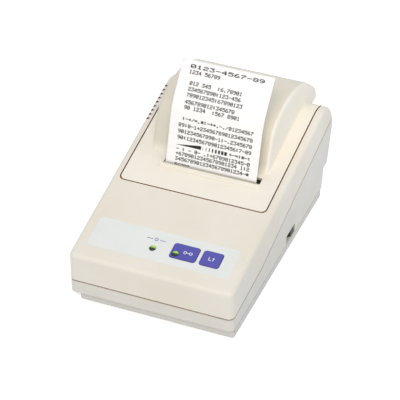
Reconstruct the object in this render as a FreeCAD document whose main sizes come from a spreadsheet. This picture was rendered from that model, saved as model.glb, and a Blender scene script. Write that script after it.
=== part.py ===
"""Receipt printer with a hinged roll cover, as a parametric FreeCAD document.

Millimetres. X runs along the width, Y from the front to the rear, Z up from the surface it
stands on. The case top is a deck that slopes up to the rear: most pieces are placed by x, by
their distance up the deck from its front edge, and by their height above or below it.
"""
import FreeCAD, Part
import math
import os
import re

import Sketcher

SIZES = {
    # Case
    "case_width": 106.0,
    "case_front": -90.0,
    "front_height": 34.1,
    "deck_slope": 11.4,
    "back_radius": 19.5,
    "back_lean": 19.0,
    "back_foot": 75.4,
    "ledge_height": 19.7,
    "step_back": 66.4,
    "step_lean": 13.3,
    "body_bottom": 5.7,
    "wall": 2.2,
    "corner_radius": 4.0,
    "edge_radius": 3.0,
    "seam": 0.7,
    "lip": 1.6,
    "parting_front": 14.8,
    "parting_slope": 5.5,
    "parting_knee": -43.3,
    "parting_rise": 13.9,
    "overrun": 20.0,
    # Base tier and feet
    "foot_height": 0.8,
    "foot_radius": 4.5,
    "foot_inset": 9.8,
    "foot_front": -83.5,
    "foot_rear": 54.0,
    "tier_inset": 6.4,
    "tier_setback": 1.2,
    "tier_corner": 1.2,
    "tier_inner_corner": 0.5,
    "tier_back": 62.2,
    # Case screws and their posts
    "screw_inset": 11.0,
    "screw_front": -74.0,
    "screw_rear": 44.0,
    "screw_radius": 1.4,
    "screw_head": 2.7,
    "screw_head_height": 2.0,
    "screw_length": 14.0,
    "post_radius": 3.4,
    "post_split": 20.0,
    "web_thickness": 2.0,
    "web_height": 12.0,
    "screw_grip": 9.0,
    "pilot_start": 2.0,
    "fit": 0.05,
    # Cover, its seat and its hinge
    "cover_border": 4.6,
    "cover_front": -26.0,
    "cover_corner": 3.4,
    "cover_wall": 2.0,
    "seat_gap": 0.2,
    "seat_depth": 2.2,
    "seat_thickness": 1.6,
    "seat_length": 80.0,
    "seat_front": 62.5,
    "seat_front_depth": 5.0,
    "seat_rib": 1.6,
    "hinge_back": 83.4,
    "hinge_height": 50.0,
    "knuckle_radius": 2.5,
    "knuckle_clear": 0.35,
    "knuckle_length": 9.0,
    "knuckle_web": 2.0,
    "knuckle_rise": 4.0,
    "knuckle_inset": 0.4,
    "hinge_spread": 30.0,
    "pin_radius": 1.0,
    # Roll housing on the cover
    "housing_side": 8.5,
    "housing_front": 2.7,
    "crease_back": 5.8,
    "crease_height": 61.2,
    "brow_ahead": 25.2,
    "brow_over": -1.0,
    "brow_radius": 20.0,
    "crown_behind": 15.9,
    "crown_over": 12.0,
    "crown_radius": 58.0,
    "heel_behind": 53.9,
    "heel_over": 10.7,
    "heel_radius": 10.0,
    "housing_back": 91.6,
    "housing_bottom": 53.2,
    "housing_root": 52.8,
    "housing_sole": 44.0,
    "housing_foot": 81.5,
    "ridge_radius": 3.0,
    # Paper exit
    "slot_near_margin": 1.3,
    "slot_far_margin": 2.3,
    "slot_front": 86.2,
    "slot_rear": 91.8,
    "brow_lip": 4.2,
    "brow_rise": 1.2,
    "brow_margin": 2.0,
    "lip_round": 1.5,
    "lip_soft": 0.8,
    "tear_thickness": 0.6,
    "tear_depth": 3.4,
    "tear_pitch": 1.45,
    "tear_tooth": 0.7,
    "tear_over": 0.2,
    # Paper
    "paper_width": 60.0,
    "paper_middle": 4.3,
    "paper_thickness": 0.1,
    "paper_gap": 0.05,
    "paper_line": 87.6,
    "web_top": -6.2,
    "roll_radius": 30.0,
    "roll_back": 38.4,
    "roll_height": 51.0,
    "core_radius": 8.0,
    "core_bore": 6.2,
    "spindle_radius": 6.0,
    "spindle_end": 2.5,
    "spindle_play": 0.3,
    "strip_lean": 17.0,
    "strip_straight": 30.2,
    "strip_curl": 36.0,
    "strip_curl_angle": 43.0,
    "strip_tail": 21.0,
    "strip_foot": -0.2,
    "strip_tuck": 0.2,
    # Roll bay
    "bay_clear": 2.2,
    "bay_wall": 1.6,
    "bay_front": 24.0,
    "bay_side_gap": 1.2,
    "bay_foot_front": 24.0,
    "bay_foot_rear": 46.0,
    "bay_rise": 3.0,
    "bay_back": 70.0,
    "bay_dip": 3.0,
    "bay_shoulder": 23.0,
    "web_clear": 0.3,
    "web_cut": 3.0,
    # Control panel
    "label_border": 7.4,
    "label_front": 10.6,
    "label_depth": 23.0,
    "label_thickness": 0.3,
    "label_corner": 1.5,
    "key_front": 16.4,
    "key_depth": 11.2,
    "key_gap": 0.35,
    "key_corner": 1.6,
    "key_height": 3.6,
    "key_proud": 0.3,
    "key_rim": 0.9,
    "rim_thickness": 0.8,
    "stem_length": 2.0,
    "stem_back": 0.0,
    "select_left": 5.7,
    "select_width": 16.4,
    "feed_left": 24.8,
    "feed_width": 12.2,
    "power_lamp_x": -6.0,
    "select_lamp_x": 8.7,
    "lamp_up": 19.6,
    "lamp_radius": 2.0,
    "lamp_gap": 0.15,
    "lamp_proud": 0.3,
    "lamp_collar": 0.15,
    "lamp_collar_height": 1.2,
    "panel_left": -16.0,
    "panel_width": 53.0,
    "panel_up": 10.5,
    "panel_depth": 21.5,
    "panel_top": -9.0,
    "panel_post": 2.2,
    "panel_post_up": 13.0,
    "panel_screw": 0.9,
    "panel_screw_depth": 4.0,
    "board_thickness": 1.6,
    "tact_side": 6.0,
    "tact_height": 3.5,
    "tact_plunger": 1.7,
    "tact_floor": 1.0,
    "tact_corner": 0.5,
    # Side vents
    "vent_count": 9,
    "vent_front": 25.6,
    "vent_pitch": 3.7,
    "vent_width": 1.6,
    "vent_depth": 6.5,
    "vent_reach": 3.4,
    # Power switch
    "switch_front": -0.4,
    "switch_length": 14.8,
    "switch_bottom": 6.1,
    "switch_height": 6.2,
    "switch_knob": 7.0,
    "switch_body_depth": 7.0,
    "switch_margin": 1.4,
    "knob_gap": 0.3,
    "switch_well": 5.0,
    "switch_recess": 0.4,
    "knob_round": 1.0,
    # Main board, small screws and what is soldered on the board
    "board_corner": 1.0,
    "board_height": 7.5,
    "board_left": -35.5,
    "board_right": 35.5,
    "board_front": -30.0,
    "board_rear": 59.5,
    "board_gap": 0.5,
    "board_post": 2.6,
    "board_screw": 1.0,
    "board_screw_depth": 2.5,
    "board_screw_left": -32.0,
    "board_screw_right": 32.0,
    "board_screw_front": -26.0,
    "board_screw_rear": 16.0,
    "small_head": 1.0,
    "small_head_radius": 1.8,
    "chip_left": -8.0,
    "chip_front": 0.0,
    "chip_side": 14.0,
    "chip_space": 6.0,
    "chip_height": 2.4,
    "capacitor_radius": 3.0,
    "capacitor_height": 7.0,
    # Interface socket in the rear
    "connector_x": -4.0,
    "connector_depth": 9.0,
    "connector_tall": 8.6,
    "shell_width": 38.9,
    "shell_height": 8.4,
    "shell_bottom": 10.0,
    "shell_gap": 0.4,
    "shell_length": 5.6,
    "flange_width": 53.0,
    "flange_height": 12.4,
    "flange_thickness": 0.9,
    "post_spacing": 47.04,
    # Jack posts of the interface socket
    "jack_post": 2.4,
    "jack_post_length": 6.0,
    "jack_post_grip": 3.0,
    "jack_thread": 1.42,
    "jack_hole_depth": 5.0,
    # DC inlet
    "jack_x": 30.0,
    "jack_middle": 13.6,
    "jack_width": 8.6,
    "jack_depth": 10.0,
    "jack_tall": 9.0,
    "jack_barrel": 4.2,
    "jack_reach": 5.0,
    "jack_bore": 2.85,
    "jack_bore_depth": 9.0,
    "jack_pin_radius": 1.0,
    "jack_pin_sink": 0.8,
    # Print mechanism
    "mech_border": 9.0,
    "mech_low": 48.0,
    "mech_depth": 49.0,
    "mech_base_depth": 42.6,
    "mech_height": 19.6,
    "mech_bottom": -27.6,
    "mech_front_height": 8.0,
    "mech_plate": 1.5,
    "mech_screw_inset": 5.0,
    "mech_screw_low": 53.0,
    "mech_screw_high": 87.0,
    "mech_screw_depth": 5.0,
    "mech_post": 2.6,
    "shaft_radius": 1.5,
    "feed_radius": 4.0,
    "feed_over": -21.0,
    "feed_length": 56.0,
    "pinch_radius": 2.0,
    "pinch_shaft": 0.8,
    "drum_radius": 3.0,
    "end_play": 0.3,
    "guide_low": 73.0,
    "guide_high": 82.0,
    "guide_over": -12.5,
    "guide_radius": 1.5,
    "platen_over": -16.0,
    "platen_depth": 3.0,
    "platen_height": 7.0,
    "motor_over": -16.0,
    "motor_radius": 6.8,
    "motor_length": 23.0,
    "motor_shaft": 0.75,
    "motor_grip": 8.0,
    "head_width": 48.0,
    "head_travel": 6.0,
    "head_front": 70.4,
    "head_depth": 13.4,
    "head_over": -17.0,
    "head_height": 8.2,
    "nose_over": -14.5,
    "nose_height": 4.0,
    "nose_length": 2.2,
    "cassette_inset": 3.0,
    "cassette_low": 50.5,
    "cassette_depth": 33.0,
    "cassette_height": 3.8,
    "cassette_over": -8.0,
    "arm_width": 5.0,
    "arm_low": 76.0,
    "arm_high": 86.4,
    "arm_drop": 2.6,
    "arm_tip": 2.4,
    "arm_reach": 8.0,
    "ribbon_inset": 0.6,
    "ribbon_thickness": 0.1,
    "knob_x": -28.0,
    "knob_up": 56.5,
    "knob_stem": 2.0,
    "knob_floor": 0.6,
    "knob_radius": 4.6,
    "knob_height": 1.2,
    # Gears
    "gear_module": 0.5,
    "gear_width": 2.5,
    "gear_gap": 0.6,
    "drum_teeth": 40,
    "feed_teeth": 30,
    "pinion_teeth": 10,
    "pressure_angle": 20.0,
    "addendum": 0.75,
    "dedendum": 1.2,
    "backlash": 0.2,
    "flank_steps": 4,
}

# Sizes that follow from others by a border or a clearance
FOLLOWING = {
    "tier_left": "tier_inset - case_width/2",
    "screw_x": "case_width/2 - screw_inset",
    "cover_width": "case_width - 2*cover_border",
    "label_width": "case_width - 2*label_border",
    "mech_width": "case_width - 2*mech_border",
    "mech_screw_x": "mech_width/2 - mech_screw_inset",
    "cassette_width": "mech_width - 2*cassette_inset",
    "housing_width": "paper_width + 2*housing_side",
    "slot_left": "paper_middle - paper_width/2 - slot_near_margin",
    "slot_right": "paper_middle + paper_width/2 + slot_far_margin",
    "brow_back": "roll_back - brow_ahead",
    "brow_height": "roll_height + roll_radius + brow_over",
    "crown_back": "roll_back + crown_behind",
    "crown_height": "roll_height + roll_radius + crown_over",
    "heel_back": "roll_back + heel_behind",
    "heel_height": "roll_height + heel_over",
    "bay_top": "roll_height + bay_rise",
}

doc = FreeCAD.newDocument("receipt_printer")
sheet = doc.addObject("Spreadsheet::Sheet", "Sizes")
for row, (alias, number) in enumerate(SIZES.items(), start=1):
    sheet.set(f"A{row}", alias)
    sheet.set(f"B{row}", str(number))
    sheet.setAlias(f"B{row}", alias)
for row, (alias, formula) in enumerate(FOLLOWING.items(), start=len(SIZES) + 1):
    sheet.set(f"A{row}", alias)
    sheet.set(f"B{row}", f"={formula}")
    sheet.setAlias(f"B{row}", alias)
doc.recompute()

NAMES = sorted([*SIZES, *FOLLOWING], key=len, reverse=True)
ALIASES = re.compile(r"\b(" + "|".join(NAMES) + r")\b")
X_AXIS = FreeCAD.Vector(1, 0, 0)
Y_AXIS = FreeCAD.Vector(0, 1, 0)
TURNS = {
    "level": (X_AXIS, 0),
    "deck": (X_AXIS, "deck_slope"),
    "along_x": (Y_AXIS, 90),
    "along_y": (X_AXIS, -90),
}
nodes = []


def link(expression):
    """Name the sheet in front of each size that an expression uses."""
    return ALIASES.sub(r"Sizes.\1", str(expression))


def bind(item, **expressions):
    """Bind an object's properties to expressions of the sheet's sizes."""
    for name, expression in expressions.items():
        item.setExpression(name, link(expression))
    return item


def place(item, at, turn="level"):
    """Put an object at x, y, z, level, tilted with the deck, or turned along an axis."""
    axis, angle = TURNS[turn]
    item.Placement = FreeCAD.Placement(FreeCAD.Vector(), FreeCAD.Rotation(axis, 1))
    item.setExpression("Placement.Rotation.Angle", link(angle))
    for letter, expression in zip("xyz", at):
        item.setExpression(f"Placement.Base.{letter}", link(expression))
    return item


def deck(x, up, over):
    """Place a point by x, its distance up the deck and its height over the deck."""
    back = f"case_front + ({up})*cos(deck_slope) - ({over})*sin(deck_slope)"
    height = f"front_height + ({up})*sin(deck_slope) + ({over})*cos(deck_slope)"
    return (x, back, height)


def box(name, at, size, turn="level"):
    """A block from its low corner and its three sides."""
    item = doc.addObject("Part::Box", name)
    bind(item, Length=size[0], Width=size[1], Height=size[2])
    return place(item, at, turn)


def rod(name, at, radius, length, turn="along_x"):
    """A round bar from the middle of its first end."""
    item = doc.addObject("Part::Cylinder", name)
    bind(item, Radius=radius, Height=length)
    return place(item, at, turn)


def join(name, *items):
    item = doc.addObject("Part::MultiFuse", name)
    item.Shapes = list(items)
    return item


def overlap(name, *items):
    item = doc.addObject("Part::MultiCommon", name)
    item.Shapes = list(items)
    return item


def cut(name, base, *tools):
    item = doc.addObject("Part::Cut", name)
    item.Base = base
    item.Tool = tools[0] if len(tools) == 1 else join(f"{name}_tools", *tools)
    return item


def group(name, *items):
    """Separate solids of one node."""
    item = doc.addObject("Part::Compound", name)
    item.Links = list(items)
    return item


def prism(name, corners, length, at=(0, 0, 0), turn="level", plane="YZ"):
    """A body padded from a closed outline whose corners are bound to the sheet."""
    body = doc.addObject("PartDesign::Body", name)
    sketch = body.newObject("Sketcher::SketchObject", f"{name}_outline")
    planes = [item for item in body.Origin.OriginFeatures if item.Role == f"{plane}_Plane"]
    sketch.AttachmentSupport = (planes[0], "")
    sketch.MapMode = "FlatFace"
    count = len(corners)
    spread = [FreeCAD.Vector(corner, corner * corner, 0) for corner in range(1, count + 1)]
    for corner in range(count):
        following = (corner + 1) % count
        sketch.addGeometry(Part.LineSegment(spread[corner], spread[following]))
    for corner in range(count):
        sketch.addConstraint(Sketcher.Constraint("Coincident", corner, 2, (corner + 1) % count, 1))
    for corner, (across, along) in enumerate(corners):
        for kind, expression in (("DistanceX", across), ("DistanceY", along)):
            rule = Sketcher.Constraint(kind, -1, 1, corner, 1, 1.0)
            index = sketch.addConstraint(rule)
            sketch.setExpression(f"Constraints[{index}]", link(expression))
    pad = body.newObject("PartDesign::Pad", f"{name}_pad")
    pad.Profile = sketch
    bind(pad, Length=length)
    return place(body, at, turn)


def soften(body, name, radius, chosen):
    """Round the edges of a body that a test chooses."""
    doc.recompute()
    solid = body.Tip
    edges = [f"Edge{n}" for n, edge in enumerate(solid.Shape.Edges, start=1) if chosen(edge)]
    fillet = body.newObject("PartDesign::Fillet", name)
    fillet.Base = (solid, edges)
    bind(fillet, Radius=radius)
    return body


def upright(edge):
    """True for an edge along the body's own Z."""
    box_of_edge = edge.BoundBox
    return box_of_edge.XLength < 1e-6 and box_of_edge.YLength < 1e-6


def slab(name, at, size, radius, turn="level"):
    """A flat block with rounded upright corners."""
    wide, deep, high = size
    corners = [("0", "0"), (wide, "0"), (wide, deep), ("0", deep)]
    body = prism(name, corners, high, at, turn, plane="XY")
    return soften(body, f"{name}_corners", radius, upright)


def value(name):
    """A size read from the sheet."""
    return float(sheet.get(name))


def solid(name, shape, at=(0, 0, 0), turn="level"):
    """A shape made with Part's functions, for outlines that a sketch doesn't suit."""
    item = doc.addObject("Part::Feature", name)
    item.Shape = shape
    return place(item, at, turn)


def node(label, item):
    """Hand in an object as a sub-part of this name."""
    item.Label = label
    nodes.append(item)
    return item


# Case: outline, parting line and shells

def case_block(name, depth):
    """The closed case outline, drawn in by a depth on every side."""
    tilt = "tan(deck_slope)"
    lean = "tan(back_lean)"
    step = "tan(step_lean)"
    roof = f"(front_height - ({depth})/cos(deck_slope))"
    back = f"(back_foot - ({depth})/cos(back_lean))"
    heel = f"(step_back - ({depth})/cos(step_lean))"
    ledge = f"(ledge_height + ({depth}))"
    peak = f"(({back} + ({roof} - case_front*{tilt} - ledge_height)*{lean}) / (1 - {tilt}*{lean}))"
    bottom = f"(body_bottom + ({depth}))"
    corners = [
        (f"case_front + ({depth})", bottom),
        (f"case_front + ({depth})", f"{roof} + ({depth})*{tilt}"),
        (peak, f"{roof} + ({peak} - case_front)*{tilt}"),
        (f"{back} + ({depth})*{lean}", ledge),
        (f"{heel} + ({depth})*{step}", ledge),
        (f"{heel} - (ledge_height - {bottom})*{step}", bottom),
    ]
    width = f"(case_width - 2*({depth}))"
    body = prism(name, corners, width, at=(f"-{width}/2", 0, 0))
    doc.recompute()
    highest = max(point.Z for point in body.Shape.Vertexes)
    foremost = min(point.Y for point in body.Shape.Vertexes)

    def peak_edge(edge):
        return edge.BoundBox.ZMin > highest - 1e-6

    def front_corner(edge):
        return upright(edge) and edge.BoundBox.YMax < foremost + 1e-6

    soften(body, f"{name}_back", f"back_radius - ({depth})", peak_edge)
    soften(body, f"{name}_corners", f"corner_radius - ({depth})", front_corner)
    doc.recompute()
    middle = max(point.Z for point in body.Shape.Vertexes if point.Y < foremost + 1e-6)

    def front_top(edge):
        return edge.BoundBox.ZMin > middle - 1e-6 and edge.BoundBox.YMax < foremost + 1e-6

    return soften(body, f"{name}_edges", f"edge_radius - ({depth})", front_top)


def below_parting(name, rise):
    """Everything under the line where the two case halves meet, raised by a rise."""
    front = "(case_front - overrun)"
    rear = "(back_foot + 2*overrun)"
    knee = f"(parting_front + (parting_knee - case_front)*tan(parting_slope) + ({rise}))"
    corners = [
        (front, "-overrun"),
        (front, f"{knee} - (parting_knee - {front})*tan(parting_slope)"),
        ("parting_knee", knee),
        (rear, f"{knee} + ({rear} - parting_knee)*tan(parting_rise)"),
        (rear, "-overrun"),
    ]
    return prism(name, corners, "case_width + 2*overrun", at=("-case_width/2 - overrun", 0, 0))


def cover_column(name, gap):
    """The upright column that the cover fills, with the gap taken off its sides."""
    wide = f"cover_width - 2*({gap})"
    at = (f"-({wide})/2", f"cover_front + ({gap})", 0)
    size = (wide, "housing_back - cover_front + overrun", "brow_height + overrun")
    return slab(name, at, size, f"cover_corner - ({gap})")


def post_places():
    """The four case screws: side, then position along the case."""
    return [(side, along) for side in (-1, 1) for along in ("screw_front", "screw_rear")]


outer = case_block("case_outer", "0")
half = case_block("case_half", "wall/2")
hollow = case_block("case_hollow", "wall")
lower_space = below_parting("lower_space", "-seam")
upper_limit = below_parting("upper_limit", "0")
lip_limit = below_parting("lip_limit", "lip")
opening = cover_column("cover_opening", "0")


def tier(name, depth, bottom, top, corner):
    """The base tier under the case body, drawn in by a depth."""
    front = f"case_front + tier_setback + ({depth})"
    left = f"tier_left + ({depth})"
    wide = f"case_width/2 - ({depth}) - ({left})"
    deep = f"tier_back - ({depth}) - ({front})"
    size = (wide, deep, f"({top}) - ({bottom})")
    return slab(name, (left, front, bottom), size, corner)


def knuckle_row(name, own, radius):
    """Hinge barrels of the cover (own) or of the case, on both hinges."""
    rods = []
    for side in (-1, 1):
        middle = f"{side}*hinge_spread"
        if own:
            spans = [(f"{middle} - knuckle_length/2", "knuckle_length")]
        else:
            near = "knuckle_length/2 + knuckle_clear"
            spans = [
                (f"{middle} - {near} - knuckle_length/2", "knuckle_length/2"),
                (f"{middle} + {near}", "knuckle_length/2"),
            ]
        for count, (start, length) in enumerate(spans):
            spot = (start, "hinge_back", "hinge_height")
            rods.append(rod(f"{name}_{side + 1}{count}", spot, radius, length))
    return rods


def hinge_relief(name, own):
    """Room around the other half's barrels, with the side clearance."""
    rooms = []
    for side in (-1, 1):
        long = "knuckle_length + 2*knuckle_clear" if own else "2*knuckle_length + 4*knuckle_clear"
        spot = (f"{side}*hinge_spread - ({long})/2", "hinge_back", "hinge_height")
        rooms.append(rod(f"{name}_{side + 1}", spot, "knuckle_radius + knuckle_clear", long))
    return rooms


FLOOR = "(foot_height + wall)"
INNER_SIDE = "(case_width/2 - wall)"


def lower_case():
    """Tray with the base tier, a lip for the upper case, screw posts and board posts."""
    skin = overlap("lower_skin", outer, lower_space)
    tongue = overlap("lip_band", half, lip_limit)
    lip_ring = cut("lip_ring", tongue, cover_column("lip_gap", "-seam"))
    base = tier("base_tier", "0", "foot_height", "body_bottom + wall", "tier_corner")
    shell = cut(
        "lower_shell",
        join("lower_mass", skin, lip_ring, base),
        hollow,
        tier("tier_hollow", "wall", FLOOR, "body_bottom + 2*wall", "tier_inner_corner"),
    )
    parts = [shell]
    holes = []
    for side, along in post_places():
        spot = (f"{side}*screw_x", along)
        tag = f"{along}_{side + 1}"
        tall = f"post_split - {FLOOR} + wall/2"
        parts.append(rod(f"post_{tag}", (*spot, f"{FLOOR} - wall/2"), "post_radius", tall, "level"))
        bore = "post_split - foot_height + overrun"
        holes.append(
            rod(f"bore_{tag}", (*spot, "foot_height - overrun/2"), "screw_radius + fit", bore, "level")
        )
        sink = "screw_head_height + overrun/2"
        spot = (*spot, "foot_height - overrun/2")
        holes.append(rod(f"sink_{tag}", spot, "screw_head + fit", sink, "level"))
    for side, along in board_places():
        spot = (side, along, f"{FLOOR} - wall/2")
        tall = f"board_height - {FLOOR} + wall/2"
        parts.append(rod(f"board_post_{side}_{along}", spot, "board_post", tall, "level"))
        spot = (side, along, "board_height - board_screw_depth")
        holes.append(
            rod(f"board_hole_{side}_{along}", spot, "board_screw", "board_screw_depth + overrun", "level")
        )
    for side, up in mech_places():
        top = deck(side, up, "mech_bottom")
        tall = f"(({top[2]}) - foot_height - wall/2)/cos(deck_slope)"
        spot = deck(side, up, f"mech_bottom - {tall}")
        parts.append(rod(f"mech_post_{side}_{up}", spot, "mech_post", tall, "deck"))
        spot = deck(side, up, "mech_bottom - mech_screw_depth")
        holes.append(
            rod(f"mech_hole_{side}_{up}", spot, "board_screw", "mech_screw_depth + overrun", "deck")
        )
    spare = ("-case_width/2", "case_front", "foot_height - overrun")
    below = box("below_floor", spare, ("case_width", "tier_back - case_front", "overrun"))
    parts += knuckle_row("case_knuckle", False, "knuckle_radius")
    holes += hinge_relief("cover_knuckle_room", True)
    holes.append(rod("pin_hole", hinge_start(), "pin_radius", hinge_long()))
    holes += [switch_hole(), connector_hole(), jack_hole()]
    return node("lower_case", cut("lower_case", join("lower_solid", *parts), below, *holes))


def hinge_long():
    return "2*hinge_spread + 4*knuckle_length"


def hinge_start():
    return (f"-({hinge_long()})/2", "hinge_back", "hinge_height")


def board_places():
    return [(x, y) for x in ("board_screw_left", "board_screw_right") for y in
            ("board_screw_front", "board_screw_rear")]


def mech_places():
    rows = ("mech_screw_low", "mech_screw_high")
    return [(f"{side}*mech_screw_x", up) for side in (-1, 1) for up in rows]


def switch_hole():
    """Window for the power switch's knob."""
    at = (f"{INNER_SIDE} - overrun/2", "switch_front", "switch_bottom")
    return box("switch_window", at, ("wall + overrun", "switch_length", "switch_height"))


def connector_hole():
    """Window for the interface connector's shell and its two posts, in the rear wall."""
    at = ("connector_x - shell_width/2 - shell_gap", "board_rear", "shell_bottom - shell_gap")
    size = ("shell_width + 2*shell_gap", "overrun", "shell_height + 2*shell_gap")
    window = slab("connector_window", at, size, "shell_gap + fit", "level")
    middle = "shell_bottom + shell_height/2"
    posts = [
        rod(f"connector_post_room_{side + 1}",
            (f"connector_x + {side}*post_spacing/2", "board_rear", middle),
            "jack_post + shell_gap", "overrun", "along_y")
        for side in (-1, 1)
    ]
    return join("connector_rooms", window, *posts)


def jack_hole():
    at = ("jack_x", "board_rear", "jack_middle")
    return rod("jack_window", at, "jack_barrel + shell_gap", "overrun", "along_y")


def upper_case():
    """Top shell: deck, side walls, cover seat, panel openings, screw posts and side vents."""
    bulk = cut("upper_bulk", outer, upper_limit, hollow, overlap("lip_room", half, lip_limit))
    frame = cut("upper_frame", bulk, opening)
    parts = [frame]
    rail_over = "-(cover_wall + seat_gap + seat_thickness)"
    for side in (-1, 1):
        start = f"{side}*(cover_width/2 - seat_depth + ({INNER_SIDE} + wall/2))/2"
        wide = f"({INNER_SIDE} + wall/2 - cover_width/2 + seat_depth)"
        spot = deck(f"{start} - {wide}/2", "seat_front", rail_over)
        parts.append(box(f"seat_{side + 1}", spot, (wide, "seat_length", "seat_thickness"), "deck"))
    spot = deck("-cover_width/2", "seat_front", rail_over)
    parts.append(box("seat_front_rail", spot, ("cover_width", "seat_front_depth", "seat_thickness"), "deck"))
    spot = deck("-cover_width/2", "seat_front", rail_over)
    tall = "seat_thickness + cover_wall + seat_gap - wall/2"
    parts.append(box("seat_front_rib", spot, ("cover_width", "seat_rib", tall), "deck"))
    holes = []
    for side, along in post_places():
        tag = f"{along}_{side + 1}"
        middle = f"{side}*screw_x"
        top = post_top(along)
        spot = (middle, along, "post_split")
        parts.append(rod(f"top_post_{tag}", spot, "post_radius", f"({top}) - post_split", "level"))
        if along == "screw_rear":
            wide = f"({INNER_SIDE} + wall/2 - screw_x)"
            low = f"({middle} - (1 - {side})/2*{wide})"
            at = (low, f"{along} - web_thickness/2", f"({top}) - web_height")
            parts.append(box(f"post_web_{tag}", at, (wide, "web_thickness", "web_height")))
        spot = (middle, along, "post_split - overrun")
        deep = "overrun + screw_length + screw_head_height"
        holes.append(rod(f"pilot_{tag}", spot, "screw_radius", f"{deep} - pilot_start", "level"))
    for side in (-1, 1):
        spot = deck(panel_post_x(side), "panel_post_up", "panel_top")
        parts.append(rod(f"panel_post_{side + 1}", spot, "panel_post", "-panel_top - wall/2", "deck"))
        holes.append(rod(f"panel_pilot_{side + 1}", spot, "panel_screw", "panel_screw_depth", "deck"))
    at = deck("-label_width/2", "label_front", "-label_thickness")
    size = ("label_width", "label_depth", "label_thickness + overrun")
    holes.append(slab("label_recess", at, size, "label_corner", "deck"))
    holes += key_openings("deck") + [lamp_hole("power_lamp_x", "deck_lamp_hole")]
    holes += side_vents()
    return node("upper_case", cut("upper_case", join("upper_solid", *parts), *holes))


def panel_post_x(side):
    return f"panel_left + panel_width/2 + {side}*(panel_width/2 - panel_post)"


def post_top(along):
    """Height where an upper screw post ends: in the deck, or under the cover."""
    roof = f"(front_height + ({along} - case_front)*tan(deck_slope))"
    under = "wall/2" if along == "screw_front" else "(cover_wall + seat_gap + seat_thickness)"
    return f"{roof} - {under}/cos(deck_slope)"


def key_openings(tag):
    """The two key openings through the deck or the label."""
    rooms = []
    for name in ("select", "feed"):
        at = deck(f"{name}_left - key_gap", "key_front - key_gap", "-overrun/2")
        size = (f"{name}_width + 2*key_gap", "key_depth + 2*key_gap", "overrun")
        rooms.append(slab(f"{name}_room_{tag}", at, size, "key_corner + key_gap", "deck"))
    return rooms


def lamp_hole(across, name):
    spot = deck(across, "lamp_up", "-overrun")
    return rod(name, spot, "lamp_radius + lamp_gap", "2*overrun", "deck")


def side_vents():
    """Slots over the left top edge, cut across the case."""
    slots = []
    for count in range(int(value("vent_count"))):
        along = f"vent_front + {count}*vent_pitch"
        high = f"(front_height + ({along} - case_front)*tan(deck_slope))"
        at = ("-case_width/2 - overrun", along, f"{high} - vent_depth")
        size = ("overrun + vent_reach", "vent_width", "vent_depth + overrun")
        slots.append(box(f"vent_{count}", at, size))
    return slots


def rubber_feet():
    """Four feet under the base tier."""
    middle = "(case_width/2 + tier_left)/2"
    half_track = "(case_width/2 - tier_left)/2 - foot_inset"
    feet = [
        rod(f"foot_{side + 1}_{along}", (f"{middle} + {side}*({half_track})", along, "0"),
            "foot_radius", "foot_height", "level")
        for side in (-1, 1) for along in ("foot_front", "foot_rear")
    ]
    return node("rubber_feet", group("rubber_feet", *feet))


def case_screws():
    """Four screws driven up from the base tier."""
    screws = []
    for side, along in post_places():
        tag = f"{along}_{side + 1}"
        spot = (f"{side}*screw_x", along, "foot_height + screw_head_height/2")
        head = rod(f"head_{tag}", spot, "screw_head", "screw_head_height/2", "level")
        spot = (f"{side}*screw_x", along, "foot_height + screw_head_height")
        shank = rod(f"shank_{tag}", spot, "screw_radius", "post_split + screw_grip - foot_height"
                    " - screw_head_height", "level")
        screws.append(join(f"screw_{tag}", head, shank))
    return node("case_screws", group("case_screws", *screws))


# Cover with the roll housing, its hinge and the tear edge

def inset(corners, depth):
    """Move the sides of a clockwise outline inwards by a depth."""
    count = len(corners)
    normals = []
    for index, (y_from, z_from) in enumerate(corners):
        y_to, z_to = corners[(index + 1) % count]
        run = f"({y_to} - ({y_from}))"
        rise = f"({z_to} - ({z_from}))"
        length = f"sqrt({run}^2 + {rise}^2)"
        normals.append((f"({rise}/{length})", f"(-{run}/{length})"))
    moved = []
    for index, (along, high) in enumerate(corners):
        (y_last, z_last), (y_next, z_next) = normals[index - 1], normals[index]
        reach = f"({depth})/(1 + {y_last}*{y_next} + {z_last}*{z_next})"
        back = f"{along} + ({y_last} + {y_next})*{reach}"
        moved.append((back, f"{high} + ({z_last} + {z_next})*{reach}"))
    return moved


def housing_block(name, depth):
    """The roll housing's outline, drawn in by a depth."""
    corners = [
        ("housing_front", "housing_sole"),
        ("housing_front", "housing_root"),
        ("crease_back", "crease_height"),
        ("brow_back", "brow_height"),
        ("crown_back", "crown_height"),
        ("heel_back", "heel_height"),
        ("housing_back", "housing_bottom"),
        ("housing_foot", "housing_bottom"),
        ("housing_foot", "housing_sole"),
    ]
    width = f"(housing_width - 2*({depth}))"
    body = prism(name, inset(corners, depth), width, at=(f"-{width}/2", 0, 0))
    for corner in ("brow", "crown", "heel"):
        spot = FreeCAD.Vector(0, value(f"{corner}_back"), value(f"{corner}_height"))
        doc.recompute()
        boxes = [(edge, edge.BoundBox) for edge in body.Tip.Shape.Edges]
        across = [edge for edge, ends in boxes if ends.YLength + ends.ZLength < 1e-6]
        best = min(across, key=lambda edge: (edge.CenterOfMass - spot - X_AXIS * edge.CenterOfMass.x).Length)
        soften(body, f"{name}_{corner}", f"{corner}_radius - ({depth})", best.isSame)
    return body


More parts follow.
